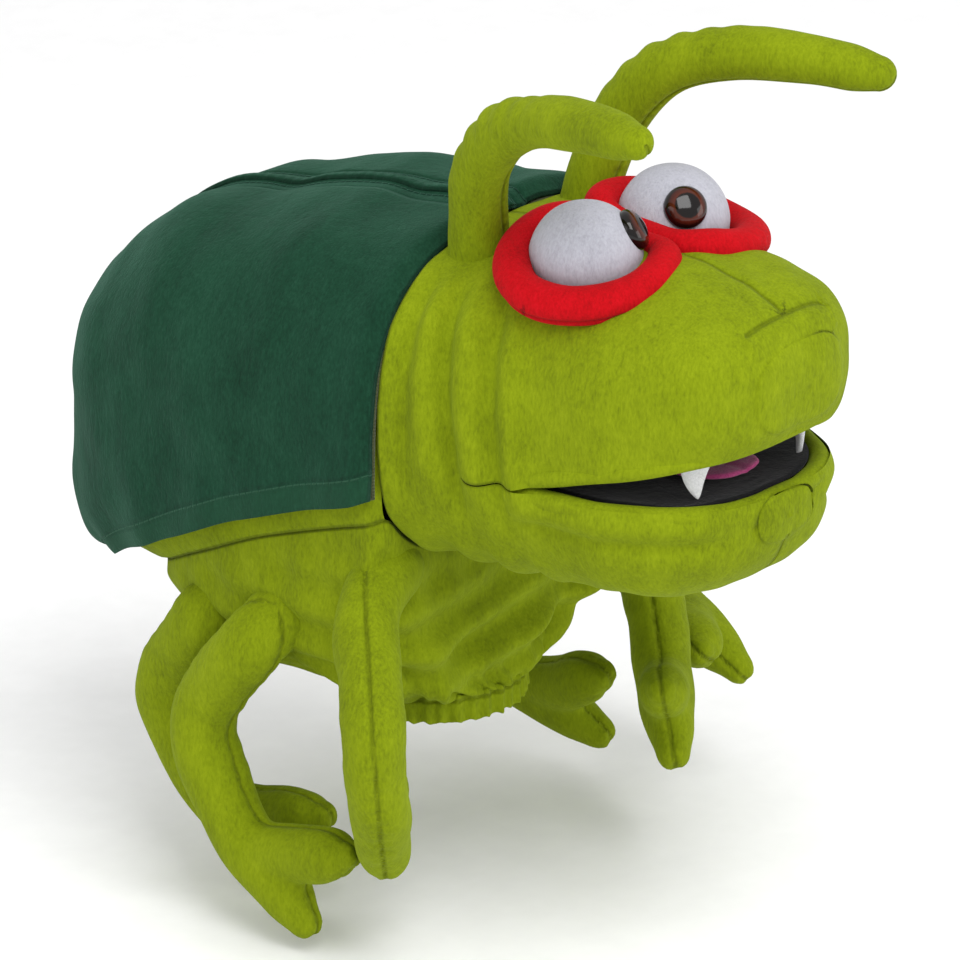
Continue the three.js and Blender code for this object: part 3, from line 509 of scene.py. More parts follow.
def pile_group():
    """Short cut pile: fine fibres, combed clumps and brushed patches. Shade is 0 in the depths and 1 on the
    tips."""
    tree, web, given, out = node_group("Pile", [("Fibre", 900.0), ("Patch", 1.0)], ["Shade", "Height"])
    combed = web.place((1, 1, 0.38))
    fibre = web.noise(combed, given["Fibre"], 3.0, 0.65)
    clump = web.noise(combed, web.math("MULTIPLY", given["Fibre"], 0.27), 2.0, 0.55, 0.25)
    brushed = web.noise(web.place((1, 1, 0.6)), 30.0, 3.0, 0.55, 0.6)
    fine = web.math("MULTIPLY", web.math("SUBTRACT", fibre, 0.5), 0.8)
    middle = web.math("MULTIPLY", web.math("SUBTRACT", clump, 0.5), 0.32)
    broad = web.math(
        "MULTIPLY", web.math("MULTIPLY", web.math("SUBTRACT", brushed, 0.5), 0.62), given["Patch"]
    )
    total = web.math("ADD", web.math("ADD", fine, middle), web.math("ADD", broad, 0.5), clamp=True)
    web.link(total, out["Shade"])
    web.link(
        web.math("ADD", web.math("MULTIPLY", fibre, 0.45), web.math("MULTIPLY", clump, 0.55)), out["Height"]
    )
    return tree


def seam_group():
    """A sewn seam at distance 0: a narrow valley with the small puckers that its thread pulls across it.
    Its first output is a mask of painted shade for the valley, used to darken the plush colour there.
    """
    tree, web, given, out = node_group("Seam", [("Distance", 1.0), ("Run", 0.0)], ["Depth", "Height"])
    valley = web.bell(given["Distance"], 0.0009)
    shoulder = web.bell(given["Distance"], 0.0042)
    wave = web.math("SINE", web.math("MULTIPLY", given["Run"], 2 * math.pi / 0.0052))
    pucker = web.math("MULTIPLY", web.math("MULTIPLY", wave, shoulder), 0.12)
    web.link(valley, out["Depth"])
    web.link(web.math("SUBTRACT", pucker, web.math("MULTIPLY", valley, 0.9)), out["Height"])
    return tree


def stitch_group():
    """A row of machine stitches at Place from an edge: short rounded dashes along Run, sunk in a shallow
    groove."""
    tree, web, given, out = node_group(
        "Topstitch",
        [("Distance", 1.0), ("Run", 0.0), ("Place", 0.01), ("Pitch", 0.0034)],
        ["Thread", "Height"],
    )
    away = web.math("SUBTRACT", given["Distance"], given["Place"])
    line = web.bell(away, 0.00038)
    groove = web.bell(away, 0.0016)
    turn = web.math("FRACT", web.math("DIVIDE", given["Run"], given["Pitch"]))
    dash = web.math(
        "MULTIPLY",
        web.math("SUBTRACT", 0.5, web.math("ABSOLUTE", web.math("SUBTRACT", turn, 0.5))),
        6.0,
        clamp=True,
    )
    thread = web.math("MULTIPLY", line, dash)
    web.link(thread, out["Thread"])
    web.link(
        web.math("SUBTRACT", web.math("MULTIPLY", thread, 0.5), web.math("MULTIPLY", groove, 0.9)),
        out["Height"],
    )
    return tree


def weave_group():
    """Plain weave: two sets of threads as sine ridges, one over the other by turns, with uneven yarn."""
    tree, web, given, out = node_group("Weave", [("Threads", 1400.0)], ["Shade", "Height"])
    split = web.add("ShaderNodeSeparateXYZ")
    web.link(web.place(), split.inputs[0])
    warp_way = web.math("ADD", split.outputs[0], web.math("MULTIPLY", split.outputs[1], 0.7))
    warp = web.math("SINE", web.math("MULTIPLY", warp_way, web.math("MULTIPLY", given["Threads"], 3.14)))
    weft_way = web.math("ADD", split.outputs[2], web.math("MULTIPLY", split.outputs[1], 0.3))
    weft = web.math("SINE", web.math("MULTIPLY", weft_way, web.math("MULTIPLY", given["Threads"], 3.14)))
    woven = web.math("ADD", web.math("MULTIPLY", web.math("MULTIPLY", warp, weft), 0.35), 0.5)
    uneven = web.noise(web.place(), 240.0, 3.0)
    web.link(
        web.math("ADD", web.math("MULTIPLY", woven, 0.6), web.math("MULTIPLY", uneven, 0.4)), out["Shade"]
    )
    web.link(woven, out["Height"])
    return tree


PILE, SEAM, STITCH, WEAVE = pile_group(), seam_group(), stitch_group(), weave_group()


def use(web, tree, **values):
    node = web.add("ShaderNodeGroup", node_tree=tree)
    for key, value in values.items():
        web.put(node.inputs[key], value)
    return node.outputs


def new_material(name, roughness, sheen=0.0, sheen_tint=(1, 1, 1), sheen_roughness=0.4, **sockets):
    material = bpy.data.materials.new(name)
    material.use_nodes = True
    web = Web(material.node_tree)
    shader = material.node_tree.nodes["Principled BSDF"]
    shader.inputs["Roughness"].default_value = roughness
    shader.inputs["Sheen Weight"].default_value = sheen
    shader.inputs["Sheen Tint"].default_value = (*sheen_tint, 1)
    shader.inputs["Sheen Roughness"].default_value = sheen_roughness
    for key, value in sockets.items():
        shader.inputs[key.replace("_", " ")].default_value = value
    return material, web, shader


def relief(web, shader, height, distance, strength=1.0):
    node = web.add("ShaderNodeBump")
    node.inputs["Strength"].default_value = strength
    node.inputs["Distance"].default_value = distance
    web.link(height, node.inputs["Height"])
    web.link(node.outputs["Normal"], shader.inputs["Normal"])


def plush(
    name, deep, body, tip, fibre=900.0, patch=1.0, sheen=0.35, sheen_tint=(1, 1, 1), stitches=(), hem=None
):
    """Cut-pile plush in three tones, with seams from the seam mark, their valleys darkened with painted
    shade, and topstitching at the given places from the hem or ridge."""
    material, web, shader = new_material(name, 0.95, sheen, sheen_tint, 0.45, Specular_IOR_Level=0.12)
    pile = use(web, PILE, Fibre=fibre, Patch=patch)
    sewn = use(web, SEAM, Distance=web.mark("seam"), Run=web.mark("run"))
    colour = web.ramp(pile["Shade"], [(0.12, deep), (0.5, body), (0.88, tip)])
    # painted shade: the seam valley's colour is darkened towards 0.6 of the deep tone
    colour = web.mix(web.math("MULTIPLY", sewn["Depth"], 0.45), colour, tuple(0.6 * c for c in deep))
    height = web.math("ADD", pile["Height"], web.math("MULTIPLY", sewn["Height"], 1.5))
    if hem:
        # painted highlight: a lighter tone is mixed in over the band within the hem width, where the flared
        # hem catches light
        width, hem_highlight = hem
        inside = web.math(
            "SUBTRACT",
            1.0,
            web.math("MULTIPLY", web.math("SUBTRACT", web.mark("hem"), width), 2500.0, clamp=True),
            clamp=True,
        )
        colour = web.mix(web.math("MULTIPLY", inside, 0.3), colour, hem_highlight)
    for mark, place, thread_tone in stitches:
        row = use(web, STITCH, Distance=web.mark(mark), Run=web.mark(mark + "_run"), Place=place)
        colour = web.mix(web.math("MULTIPLY", row["Thread"], 0.85), colour, thread_tone)
        height = web.math("ADD", height, web.math("MULTIPLY", row["Height"], 1.6))
    web.link(colour, shader.inputs["Base Color"])
    web.link(web.math("ADD", 0.86, web.math("MULTIPLY", pile["Shade"], 0.12)), shader.inputs["Roughness"])
    relief(web, shader, height, 0.0009, 0.85)
    return material


def cloth(name, deep, body, threads=1400.0, roughness=0.85, sheen=0.15):
    material, web, shader = new_material(name, roughness, sheen, (1, 1, 1), 0.5, Specular_IOR_Level=0.25)
    woven = use(web, WEAVE, Threads=threads)
    web.link(web.ramp(woven["Shade"], [(0.2, deep), (0.8, body)]), shader.inputs["Base Color"])
    relief(web, shader, woven["Height"], 0.0003, 0.6)
    return material


def felt(name, deep, body):
    """Wool felt: matted fibres that lie in all directions."""
    material, web, shader = new_material(name, 0.95, 0.3, (1, 1, 1), 0.5, Specular_IOR_Level=0.1)
    mat = web.noise(web.place((1, 1, 1), (0.4, 0.7, 0.2)), 700.0, 5.0, 0.7, 1.5)
    web.link(web.ramp(mat, [(0.3, deep), (0.7, body)]), shader.inputs["Base Color"])
    relief(web, shader, mat, 0.0006, 0.7)
    return material


def eye_gloss(name):
    """A moulded safety eye: black pupil, brown iris with faint rays and a dark rim, under a clear glossy
    face."""
    material, web, shader = new_material(
        name, 0.1, Coat_Weight=0.35, Coat_Roughness=0.04, Coat_IOR=1.35, Specular_IOR_Level=0.25
    )
    radius = web.mark("across")
    rays = web.noise(web.place((1, 1, 1)), 900.0, 2.0)
    uneven = web.math("ADD", radius, web.math("MULTIPLY", web.math("SUBTRACT", rays, 0.5), 0.0006))
    ratio = web.math("DIVIDE", uneven, BUTTON_RADIUS * MM)
    tones = [
        (0.0, (0.003, 0.002, 0.002)),
        (0.56, (0.004, 0.002, 0.002)),
        (0.63, (0.075, 0.014, 0.006)),
        (0.8, (0.045, 0.008, 0.004)),
        (0.9, (0.006, 0.003, 0.002)),
        (1.0, (0.004, 0.003, 0.003)),
    ]
    web.link(web.ramp(ratio, tones), shader.inputs["Base Color"])
    return material


LIME_DEEP, LIME, LIME_TIP = (0.088, 0.118, 0.0012), (0.168, 0.222, 0.0022), (0.235, 0.298, 0.006)
GREEN_DEEP, GREEN, GREEN_TIP = (0.0018, 0.016, 0.0075), (0.006, 0.038, 0.019), (0.014, 0.062, 0.034)

lime_plush = plush("lime_plush", LIME_DEEP, LIME, LIME_TIP, 850.0, 1.0, 0.09, (0.7, 0.9, 0.1))
green_plush = plush(
    "green_plush",
    GREEN_DEEP,
    GREEN,
    GREEN_TIP,
    950.0,
    0.9,
    0.14,
    (0.3, 0.75, 0.55),
    stitches=[
        ("hem", 0.0115, (0.025, 0.08, 0.045)),
        ("ridge", 0.0050, (0.004, 0.02, 0.012)),
        ("ridge", 0.0110, (0.004, 0.02, 0.012)),
    ],
    # the hem's painted highlight: a lighter green within 11.5 mm of the hem
    hem=(0.0115, (0.014, 0.058, 0.028)),
)
red_plush = plush(
    "red_plush",
    (0.22, 0.0006, 0.002),
    (0.42, 0.0015, 0.005),
    (0.56, 0.004, 0.012),
    1000.0,
    0.6,
    0.06,
    (1.0, 0.15, 0.15),
)
white_plush = plush(
    "white_plush", (0.27, 0.27, 0.305), (0.38, 0.38, 0.43), (0.47, 0.47, 0.52), 1000.0, 0.4, 0.10
)
black_cloth = plush(
    "black_cloth", (0.003, 0.003, 0.0035), (0.008, 0.008, 0.009), (0.018, 0.018, 0.021), 1100.0, 0.6, 0.12
)
white_felt = felt("white_felt", (0.60, 0.60, 0.62), (0.86, 0.86, 0.87))
pink_felt = felt("pink_felt", (0.42, 0.035, 0.17), (0.70, 0.11, 0.33))
lining_cloth = cloth("lining_cloth", (0.030, 0.036, 0.014), (0.075, 0.09, 0.036))
mouth_board = felt("mouth_board", (0.36, 0.28, 0.17), (0.52, 0.42, 0.27))
elastic_band = cloth("elastic_band", (0.55, 0.54, 0.48), (0.80, 0.79, 0.72), 2200.0, 0.6)
eye_plastic = eye_gloss("eye_plastic")


def moulded(name, colour):
    material, web, shader = new_material(name, 0.4)
    grain = web.noise(web.place(), 500.0, 3.0)
    web.link(
        web.ramp(grain, [(0.3, tuple(0.9 * c for c in colour)), (0.7, colour)]), shader.inputs["Base Color"]
    )
    relief(web, shader, grain, 0.0001, 0.4)
    return material


washer_plastic = moulded("washer_plastic", (0.72, 0.72, 0.70))


def dress(piece, material, body=None, replaces=(), blend=None):
    """Gives a piece its material, the body that it moves with, and the CAD nodes that it stands for. A
    piece given blend is only baked in place and moves with no body."""
    piece.data.materials.clear()
    piece.data.materials.append(material)
    if blend:
        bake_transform(piece)
    else:
        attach(piece, body)
    if replaces:
        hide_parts(*replaces)
    return piece


# ---------------------------------------------------------------- outer shapes as functions of y

BODY = (
    profile(
        [
            (NECK_Y, BODY_HALF_WIDTH - 3),
            (35, BODY_HALF_WIDTH),
            (80, BODY_HALF_WIDTH - 4),
            (120, BODY_HALF_WIDTH - 16),
            (BODY_REAR_Y - 27, BODY_HALF_WIDTH - 33),
            (BODY_REAR_Y - 11, BODY_HALF_WIDTH - 52),
            (BODY_REAR_Y, 10),
        ]
    ),
    profile(
        [
            (NECK_Y, BODY_TOP_Z),
            (0, BODY_TOP_Z - 4),
            (49, BODY_TOP_Z - 12),
            (95, BODY_TOP_Z - 23),
            (127, BODY_TOP_Z - 39),
            (BODY_REAR_Y - 20, BODY_TOP_Z - 68),
            (BODY_REAR_Y - 8, BODY_TOP_Z - 94),
            (BODY_REAR_Y, BODY_TOP_Z - 124),
        ]
    ),
    profile(
        [
            (NECK_Y, 60),
            (0, 46),
            (60, 42),
            (120, 38),
            (BODY_REAR_Y - 22, 38),
            (BODY_REAR_Y - 9, 50),
            (BODY_REAR_Y, 74),
        ]
    ),
)
HEAD = (
    profile(
        [
            (NOSE_Y, 27),
            (NOSE_Y + 6, 41),
            (NOSE_Y + 16, 51),
            (NOSE_Y + 33, 60),
            (-137, 66),
            (-105, HEAD_HALF_WIDTH),
            (-80, 75),
            (NECK_Y, BODY_HALF_WIDTH - 3),
        ]
    ),
    profile(
        [
            (NOSE_Y, HEAD_TOP_Z - 24),
            (NOSE_Y + 6, HEAD_TOP_Z - 16),
            (NOSE_Y + 16, HEAD_TOP_Z - 9),
            (NOSE_Y + 33, HEAD_TOP_Z - 4),
            (-137, HEAD_TOP_Z - 1),
            (-105, HEAD_TOP_Z),
            (-80, HEAD_TOP_Z - 1),
            (NECK_Y, BODY_TOP_Z + 2),
        ]
    ),
    profile(
        [
            (NOSE_Y, MOUTH_Z + 29),
            (NOSE_Y + 6, MOUTH_Z + 20),
            (NOSE_Y + 16, MOUTH_Z + 8),
            (NOSE_Y + 33, MOUTH_Z - 16),
            (-137, MOUTH_Z - 38),
            (-105, JAW_BOTTOM_Z),
            (NECK_Y, JAW_BOTTOM_Z + 1),
        ]
    ),
)
JAW = (
    profile(
        [
            (CHIN_Y, 18),
            (CHIN_Y + 5, 33),
            (CHIN_Y + 15, 47),
            (CHIN_Y + 32, 58),
            (-137, 66),
            (-105, HEAD_HALF_WIDTH),
            (-80, 75),
            (NECK_Y, BODY_HALF_WIDTH - 3),
        ]
    ),
    profile(
        [
            (CHIN_Y, MOUTH_Z + 1),
            (CHIN_Y + 5, MOUTH_Z + 11),
            (CHIN_Y + 15, MOUTH_Z + 21),
            (CHIN_Y + 32, MOUTH_Z + 33),
            (-137, MOUTH_Z + 46),
            (-105, HEAD_TOP_Z),
            (-80, HEAD_TOP_Z - 1),
            (NECK_Y, BODY_TOP_Z + 2),
        ]
    ),
    profile(
        [
            (CHIN_Y, MOUTH_Z - 22),
            (CHIN_Y + 5, MOUTH_Z - 32),
            (CHIN_Y + 15, MOUTH_Z - 41),
            (CHIN_Y + 32, MOUTH_Z - 49),
            (-137, JAW_BOTTOM_Z + 5),
            (-105, JAW_BOTTOM_Z),
            (NECK_Y, JAW_BOTTOM_Z + 1),
        ]
    ),
)
hem_height = profile([(-51, 126), (24, 100), (88, 68), (137, 40), (190, 6)])


def lip_height(y):
    """Height of the upper lip: level with the hinge line behind the mouth corners, then rising ahead of
    them."""
    return MOUTH_Z + np.maximum(MOUTH_Y - y, 0) * math.tan(MOUTH_OPEN)


def whole(y):
    """No border at any position, so that every section is kept whole."""
    return np.full(len(y), np.nan)


def cheek_folds(grid):
    """Soft upright folds where the cheek cloth bunches behind the mouth corner: bells across y, strongest
    on the sides."""
    x, y, z = grid[..., 0], grid[..., 1], grid[..., 2]
    flank = ease(np.abs(x), 45, 68)
    band = ease(z, 108, 146) * (1 - ease(z, 200, 224))
    lean = (z - 170) * 0.10
    folds = (
        3.4 * bump(y + 100 - lean, 6)
        + 4.4 * bump(y + 81 - lean * 1.4, 7)
        + 3.6 * bump(y + 61 - lean, 6)
    )
    valleys = (
        3.6 * bump(y + 91 - lean, 4.0)
        + 4.2 * bump(y + 71 - lean * 1.3, 4.0)
        + 2.8 * bump(y + 52, 3.6)
    )
    return (folds - valleys) * flank * band


def throat_folds(grid):
    """Slanted folds under the throat: a sine across the cloth, fading out above the jaw's lower edge."""
    y, z = grid[..., 1], grid[..., 2]
    return 1.3 * ease(122 - z, 0, 26) * np.sin((y + 0.35 * z) * 2 * np.pi / 19)


def cheek_seam(grid):
    """Distance from the seam that runs back from each mouth corner."""
    return np.abs(grid[..., 2] - MOUTH_Z + 0.3) + 1.5 * np.maximum(grid[..., 1] - HEAD_START_Y + 2, 0)


# ---------------------------------------------------------------- head


def make_head():
    """Upper head: superellipse sections from the cheeks to the nose above the lip, closed by a blunt
    rounded nose panel."""
    y, scale = stations(HEAD_START_Y, NOSE_Y, 120, 3.4, 16)
    grid, reach = shell(y, scale, HEAD, HEAD_POWER, np.where(scale < 1, -1e3, lip_height(y)), "above", 301)
    t = np.linspace(-1, 1, 301)
    along = np.r_[0, np.cumsum(np.linalg.norm(np.diff(grid[:, 150], axis=0), axis=1))]
    rim = along[int(np.argmin(np.abs(y[:120] - (NOSE_Y + NOSE_PANEL_DEPTH))))]
    from_rim = along - rim
    rim_distance = np.abs(from_rim)[:, None] + 40 * ease(np.abs(t), 0.26, 0.42)[None]
    centre_distance = np.abs(grid[..., 0]) + np.where((from_rim[:, None] < 0) & (grid[..., 2] > 170), 0, 50)
    cheek = cheek_seam(grid) + np.where(grid[..., 1] > MOUTH_Y - 1, 0, 50)
    seam = np.minimum(np.minimum(rim_distance, centre_distance), cheek)
    run = np.where(rim_distance < centre_distance, t[None] * reach[:, None], grid[..., 1])
    height = (
        cheek_folds(grid)
        + 0.9 * unevenness(grid, 60, 3)
        + 0.35 * unevenness(grid, 21, 4)
        - 1.1 * bump(np.minimum(rim_distance, centre_distance), 2.6)
        + 1.3 * bump(rim_distance - 6, 5) * (from_rim[:, None] > 0)
    )
    head = surface("head_plush", raised(grid, height), {"seam": seam * MM, "run": run * MM})
    border = np.array(grid[:, 0][(y <= MOUTH_Y + 2) & (np.abs(grid[:, 0, 0]) > 0.5)])
    return head, border


def lip_roll(name, border, up, radius):
    """The turned edge of a lip: a roll carried along the border, set in from it and towards the plush by
    most of its radius."""
    mirrored = border[::-1] * np.array([-1, 1, 1])
    path = spread(np.vstack([border, mirrored]), 150)
    along = unit(np.gradient(path, axis=0))
    up = np.asarray(up, float)
    inward = unit(np.cross(up, along))
    if (inward * (path.mean(0) - path)).sum() < 0:
        inward = -inward
    path = path + inward * radius * 0.72 + up * radius * 0.72

    def lumps(p, turn):
        return 0.25 * unevenness(p, 30, 8)[:, None] * np.ones(len(turn))

    return tube(name, path, radius, 22, side=up, lumps=lumps)


def make_jaw():
    """Lower jaw, cheeks and throat: sections below the mouth line, with a plump roll under the lip."""
    y, scale = stations(HEAD_START_Y, CHIN_Y, 110, 4.0, 14)
    edge = np.where(scale < 1, 1e3, MOUTH_Z - 0.5)
    grid, reach = shell(y, scale, JAW, HEAD_POWER, edge, "below", 241)
    t = np.linspace(-1, 1, 241)
    from_lip = reach[:, None] * (1 - np.abs(t))[None]
    front = ease(-grid[..., 1], -MOUTH_Y - 6, -MOUTH_Y + 12)
    roll = front * ease(grid[..., 1] - CHIN_Y, 1, 12) * (
        2.4 * bump(from_lip - 7, 6) - 1.7 * bump(from_lip - 15.5, 3.2)
    )
    cheek = cheek_seam(grid) + np.where(grid[..., 1] > MOUTH_Y - 1, 0, 50)
    folds = (1 - front) * throat_folds(grid)
    height = (
        roll
        + folds
        + cheek_folds(grid)
        + 0.9 * unevenness(grid, 60, 3)
        + 0.35 * unevenness(grid, 21, 4)
    )
    seam = np.minimum(cheek, np.abs(grid[..., 0]) + np.where(grid[..., 2] < 120, 0, 50))
    jaw = surface("jaw_plush", raised(grid, height), {"seam": seam * MM, "run": grid[..., 1] * MM})
    border = np.array(grid[:, 0][(y <= MOUTH_Y + 2) & (scale == 1)])
    return jaw, border


def make_neck():
    """The ring of plush between body and head: closed sections that the cheek folds run on into."""
    y = np.linspace(HEAD_START_Y, NECK_Y + 3, 52)
    grid, _ = arcs(y, *(f(y) for f in HEAD), HEAD_POWER, whole(y), "above", 361)
    height = cheek_folds(grid) + 0.9 * unevenness(grid, 60, 3) + 0.35 * unevenness(grid, 21, 4)
    height += throat_folds(grid)
    tuck = ease(grid[..., 1], NECK_Y - 2, NECK_Y + 3)
    grid = raised(grid, height * (1 - 0.6 * tuck) - 5.0 * tuck**2)
    seam = np.minimum(NECK_Y - grid[..., 1], np.abs(grid[..., 0]) + np.where(grid[..., 2] > 170, 0, 50))
    return surface("neck_plush", grid, {"seam": np.abs(seam) * MM, "run": grid[..., 2] * MM})


head_plush, upper_border = make_head()
jaw_plush, lower_border = make_jaw()
neck_plush = make_neck()
lip_up = np.array([0, math.sin(MOUTH_OPEN), math.cos(MOUTH_OPEN)])
dress(head_plush, lime_plush, "head", replaces=("head_skin", "head_stuffing"))
dress(
    jaw_plush,
    lime_plush,
    blend=("head", "lower_jaw", (0, -0.078, 0.11), (0, -0.118, 0.11)),
    replaces=("jaw_skin", "jaw_stuffing"),
)
dress(
    neck_plush,
    lime_plush,
    blend=("torso", "head", (0, -0.0415, 0.15), (0, -0.078, 0.15)),
    replaces=("neck_skin",),
)
dress(lip_roll("upper_lip", upper_border, lip_up, UPPER_LIP_RADIUS), lime_plush, "head")
dress(lip_roll("lower_lip", lower_border, (0, 0, -1), LOWER_LIP_RADIUS), lime_plush, "lower_jaw")


# ---------------------------------------------------------------- mouth


def mouth_sheet(name, height, turn, sag):
    """Half of the mouth: spokes from its middle to the superellipse outline |x/a|^2.7 + |y/b|^2.7 = 1,
    dished by sag at the middle."""
    spoke, turnings = np.linspace(0, 1, 30)[:, None], np.linspace(0, np.pi, 90)[None]
    c, s = np.cos(turnings), np.sin(turnings)
    power = 2 / 2.7
    x = MOUTH_HALF_WIDTH * np.sign(c) * np.abs(c) ** power * spoke
    length = MOUTH_LENGTH * np.abs(s) ** power * spoke
    z = height + sag * (1 - spoke**2) * np.ones_like(c)
    ripple = 0.35 * unevenness(np.stack([x, length, 0 * x], -1), 26, 21)
    grid = np.stack([x, -length, z + ripple], -1)
    cy, sy = math.cos(turn), math.sin(turn)
    y = MOUTH_Y - 1.0 + grid[..., 1] * cy + grid[..., 2] * sy
    z = MOUTH_Z - grid[..., 1] * sy + grid[..., 2] * cy
    grid = np.stack([grid[..., 0], y, z], -1)
    return surface(name, grid, {"seam": np.abs(x) * MM, "run": length * MM})


upper_mouth = thick(mouth_sheet("upper_mouth_cloth", 1.4, MOUTH_OPEN, 1.5), 0.9)
lower_mouth = thick(mouth_sheet("lower_mouth_cloth", -1.4, 0.0, -1.0), 0.9)
dress(upper_mouth, black_cloth, "head", replaces=("upper_mouth_lining",))
dress(lower_mouth, black_cloth, "lower_jaw", replaces=("lower_mouth_lining",))


def make_tongue():
    """A felt tongue: a rounded slab whose thickness falls to its edge as the fourth root of 1 - spoke^4,
    with a centre groove."""
    spoke = np.r_[np.linspace(0, 1, 26), np.linspace(1, 0, 26)[1:]][:, None]
    top = np.r_[np.ones(26), -np.ones(25)][:, None]
    turnings = np.linspace(0, 2 * np.pi, 96, endpoint=False)[None]
    c, s = np.cos(turnings), np.sin(turnings)
    x = TONGUE_HALF_WIDTH * np.sign(c) * np.abs(c) ** 0.7 * spoke
    y = (
        MOUTH_Y
        - TONGUE_ROOT
        - TONGUE_LENGTH / 2
        - TONGUE_LENGTH / 2 * np.sign(s) * np.abs(s) ** 0.8 * spoke
    )
    swell = (1 - spoke**4) ** 0.25 * np.ones_like(c)
    z = MOUTH_Z + 0.9 + top * swell * 1.5 - (top > 0) * 0.9 * bump(x, 2.2)
    lift = 2.0 * ease(-(y - MOUTH_Y), 38, 66)
    return surface("tongue_felt", np.stack([x, y, z + lift], -1), wrap=True)


dress(make_tongue(), pink_felt, "lower_jaw", replaces=("tongue",))


def make_fang(side, sign):
    """A padded felt fang: outlines that narrow from root to point as (1 - t)^0.7, two bowed faces sewn at
    the edges."""
    t, turnings = np.linspace(0, 1, 40)[:, None], np.linspace(0, 2 * np.pi, 36, endpoint=False)[None]
    width = FANG_WIDTH / 2 * (1 - t) ** 0.72 + 0.35
    across = width * np.cos(turnings)
    through = (1.25 + 1.0 * (1 - t)) * np.sign(np.sin(turnings)) * np.abs(np.sin(turnings)) ** 0.8
    lean = -1.4 * np.sin(np.pi * t)
    down = -FANG_LENGTH * t
    angle = math.radians(sign * 50)
    x = sign * FANG_X + (across + lean) * math.cos(angle) - through * math.sin(angle)
    y = FANG_Y + (across + lean) * math.sin(angle) + through * math.cos(angle)
    z = MOUTH_Z + (MOUTH_Y - y) * math.tan(MOUTH_OPEN) + 1.5 + down
    level = np.ones((1, 36))
    cap = np.stack([x[:1].mean() * level, y[:1].mean() * level, z[:1]], -1)
    tip = np.repeat(np.stack([x[-1:], y[-1:], z[-1:] - 0.3], -1).mean(1, keepdims=True), 36, 1)
    return surface(f"fang_felt_{side}", np.concatenate([cap, np.stack([x, y, z], -1), tip]), wrap=True)


for side, sign in SIDES:
    dress(make_fang(side, sign), white_felt, "head", replaces=(f"fang_{side}",))


# ---------------------------------------------------------------- eyes


def ball(name, centre, radius, rows=48, columns=72, lumps=0.0, seed=0):
    """A sphere of rings: z = r cos a and ring radius r sin a, with soft unevenness."""
    a, b = np.linspace(0, np.pi, rows)[:, None], np.linspace(0, 2 * np.pi, columns, endpoint=False)[None]
    way = np.stack([np.sin(a) * np.cos(b), np.sin(a) * np.sin(b), np.cos(a) * np.ones_like(b)], -1)
    size = radius + lumps * unevenness(way * radius, 25, seed)
    return surface(
        name, np.asarray(centre) + way * size[..., None], {"seam": 0.05 + 0 * way[..., 2]}, wrap=True
    )


def lathe(name, outline, centre, axis, columns=64):
    """A profile of (radius, height) turned about an axis through the centre."""
    outline = np.array(outline, float)
    axis = unit(np.asarray(axis, float))
    first = unit(np.cross(axis, (0, 0, 1)))
    second = np.cross(axis, first)
    b = np.linspace(0, 2 * np.pi, columns, endpoint=False)
    ring = first * np.cos(b)[:, None] + second * np.sin(b)[:, None]
    grid = (
        np.asarray(centre)
        + axis * outline[:, 1][:, None, None]
        + ring[None] * outline[:, 0][:, None, None]
    )
    return surface(name, grid, {"across": np.repeat(outline[:, :1], columns, 1) * MM}, wrap=True)


def make_lid(side, sign):
    """A rolled lid: a ring round the eye that rises at the back and falls outwards, thinner where the two
    rings meet."""
    angle = np.linspace(0, 2 * np.pi, 160, endpoint=False)
    out = np.cos(angle)
    beyond = (EYE_X + LID_REACH * out - LID_MEETING_X) / LID_MEETING_SOFTNESS
    x = sign * (LID_MEETING_X + np.logaddexp(0, beyond) * LID_MEETING_SOFTNESS)
    y = EYE_Y + np.where(np.sin(angle) > 0, LID_BACK_REACH, LID_REACH) * np.sin(angle)
    z = LID_Z - (np.abs(x) - EYE_X) * LID_FALL + LID_BACK_RISE * (0.5 + 0.5 * np.sin(angle)) ** 2
    path = np.stack([x, y, z], -1)
    radius = LID_RADIUS - 2.2 * bump(1 + out, 0.35) + 0.5 * bump(np.sin(angle) - 0.2, 0.5) * (out > 0)
    along = unit(np.roll(path, -1, 0) - np.roll(path, 1, 0))
    down = np.array([0, 0, -1.0])
    across = unit(down - along * (along @ down)[:, None])
    third = np.cross(along, across)
    turn = np.linspace(0, 2 * np.pi, 40, endpoint=False)
    outer = np.where(
        (third * (path - np.array([sign * EYE_X, EYE_Y, LID_Z]))).sum(1) > 0, 1.0, -1.0
    )[:, None]
    near = np.abs((turn[None] * outer - LID_SEAM_TURN + np.pi) % (2 * np.pi) - np.pi)
    seam = near * radius[:, None]
    size = radius[:, None] - 0.75 * bump(seam, 1.3) + 0.3 * unevenness(path, 26, 31)[:, None]
    ring = across[:, None] * np.cos(turn)[None, :, None] + third[:, None] * np.sin(turn)[None, :, None]
    grid = path[:, None] + size[..., None] * ring
    run = np.r_[0, np.cumsum(np.linalg.norm(np.diff(path, axis=0), axis=1))]
    run = np.repeat(np.r_[run, run[-1] + 1.2][:, None], 40, 1)
    marks = {"seam": np.concatenate([seam, seam[:1]]) * MM, "run": run * MM}
    return surface(f"eyelid_plush_{side}", np.concatenate([grid, grid[:1]]), marks, wrap=True)


def recalculated(piece):
    """Turns a closed ring's faces outwards."""
    work = bmesh.new()
    work.from_mesh(piece.data)
    bmesh.ops.recalc_face_normals(work, faces=work.faces)
    work.to_mesh(piece.data)
    work.free()
    return piece


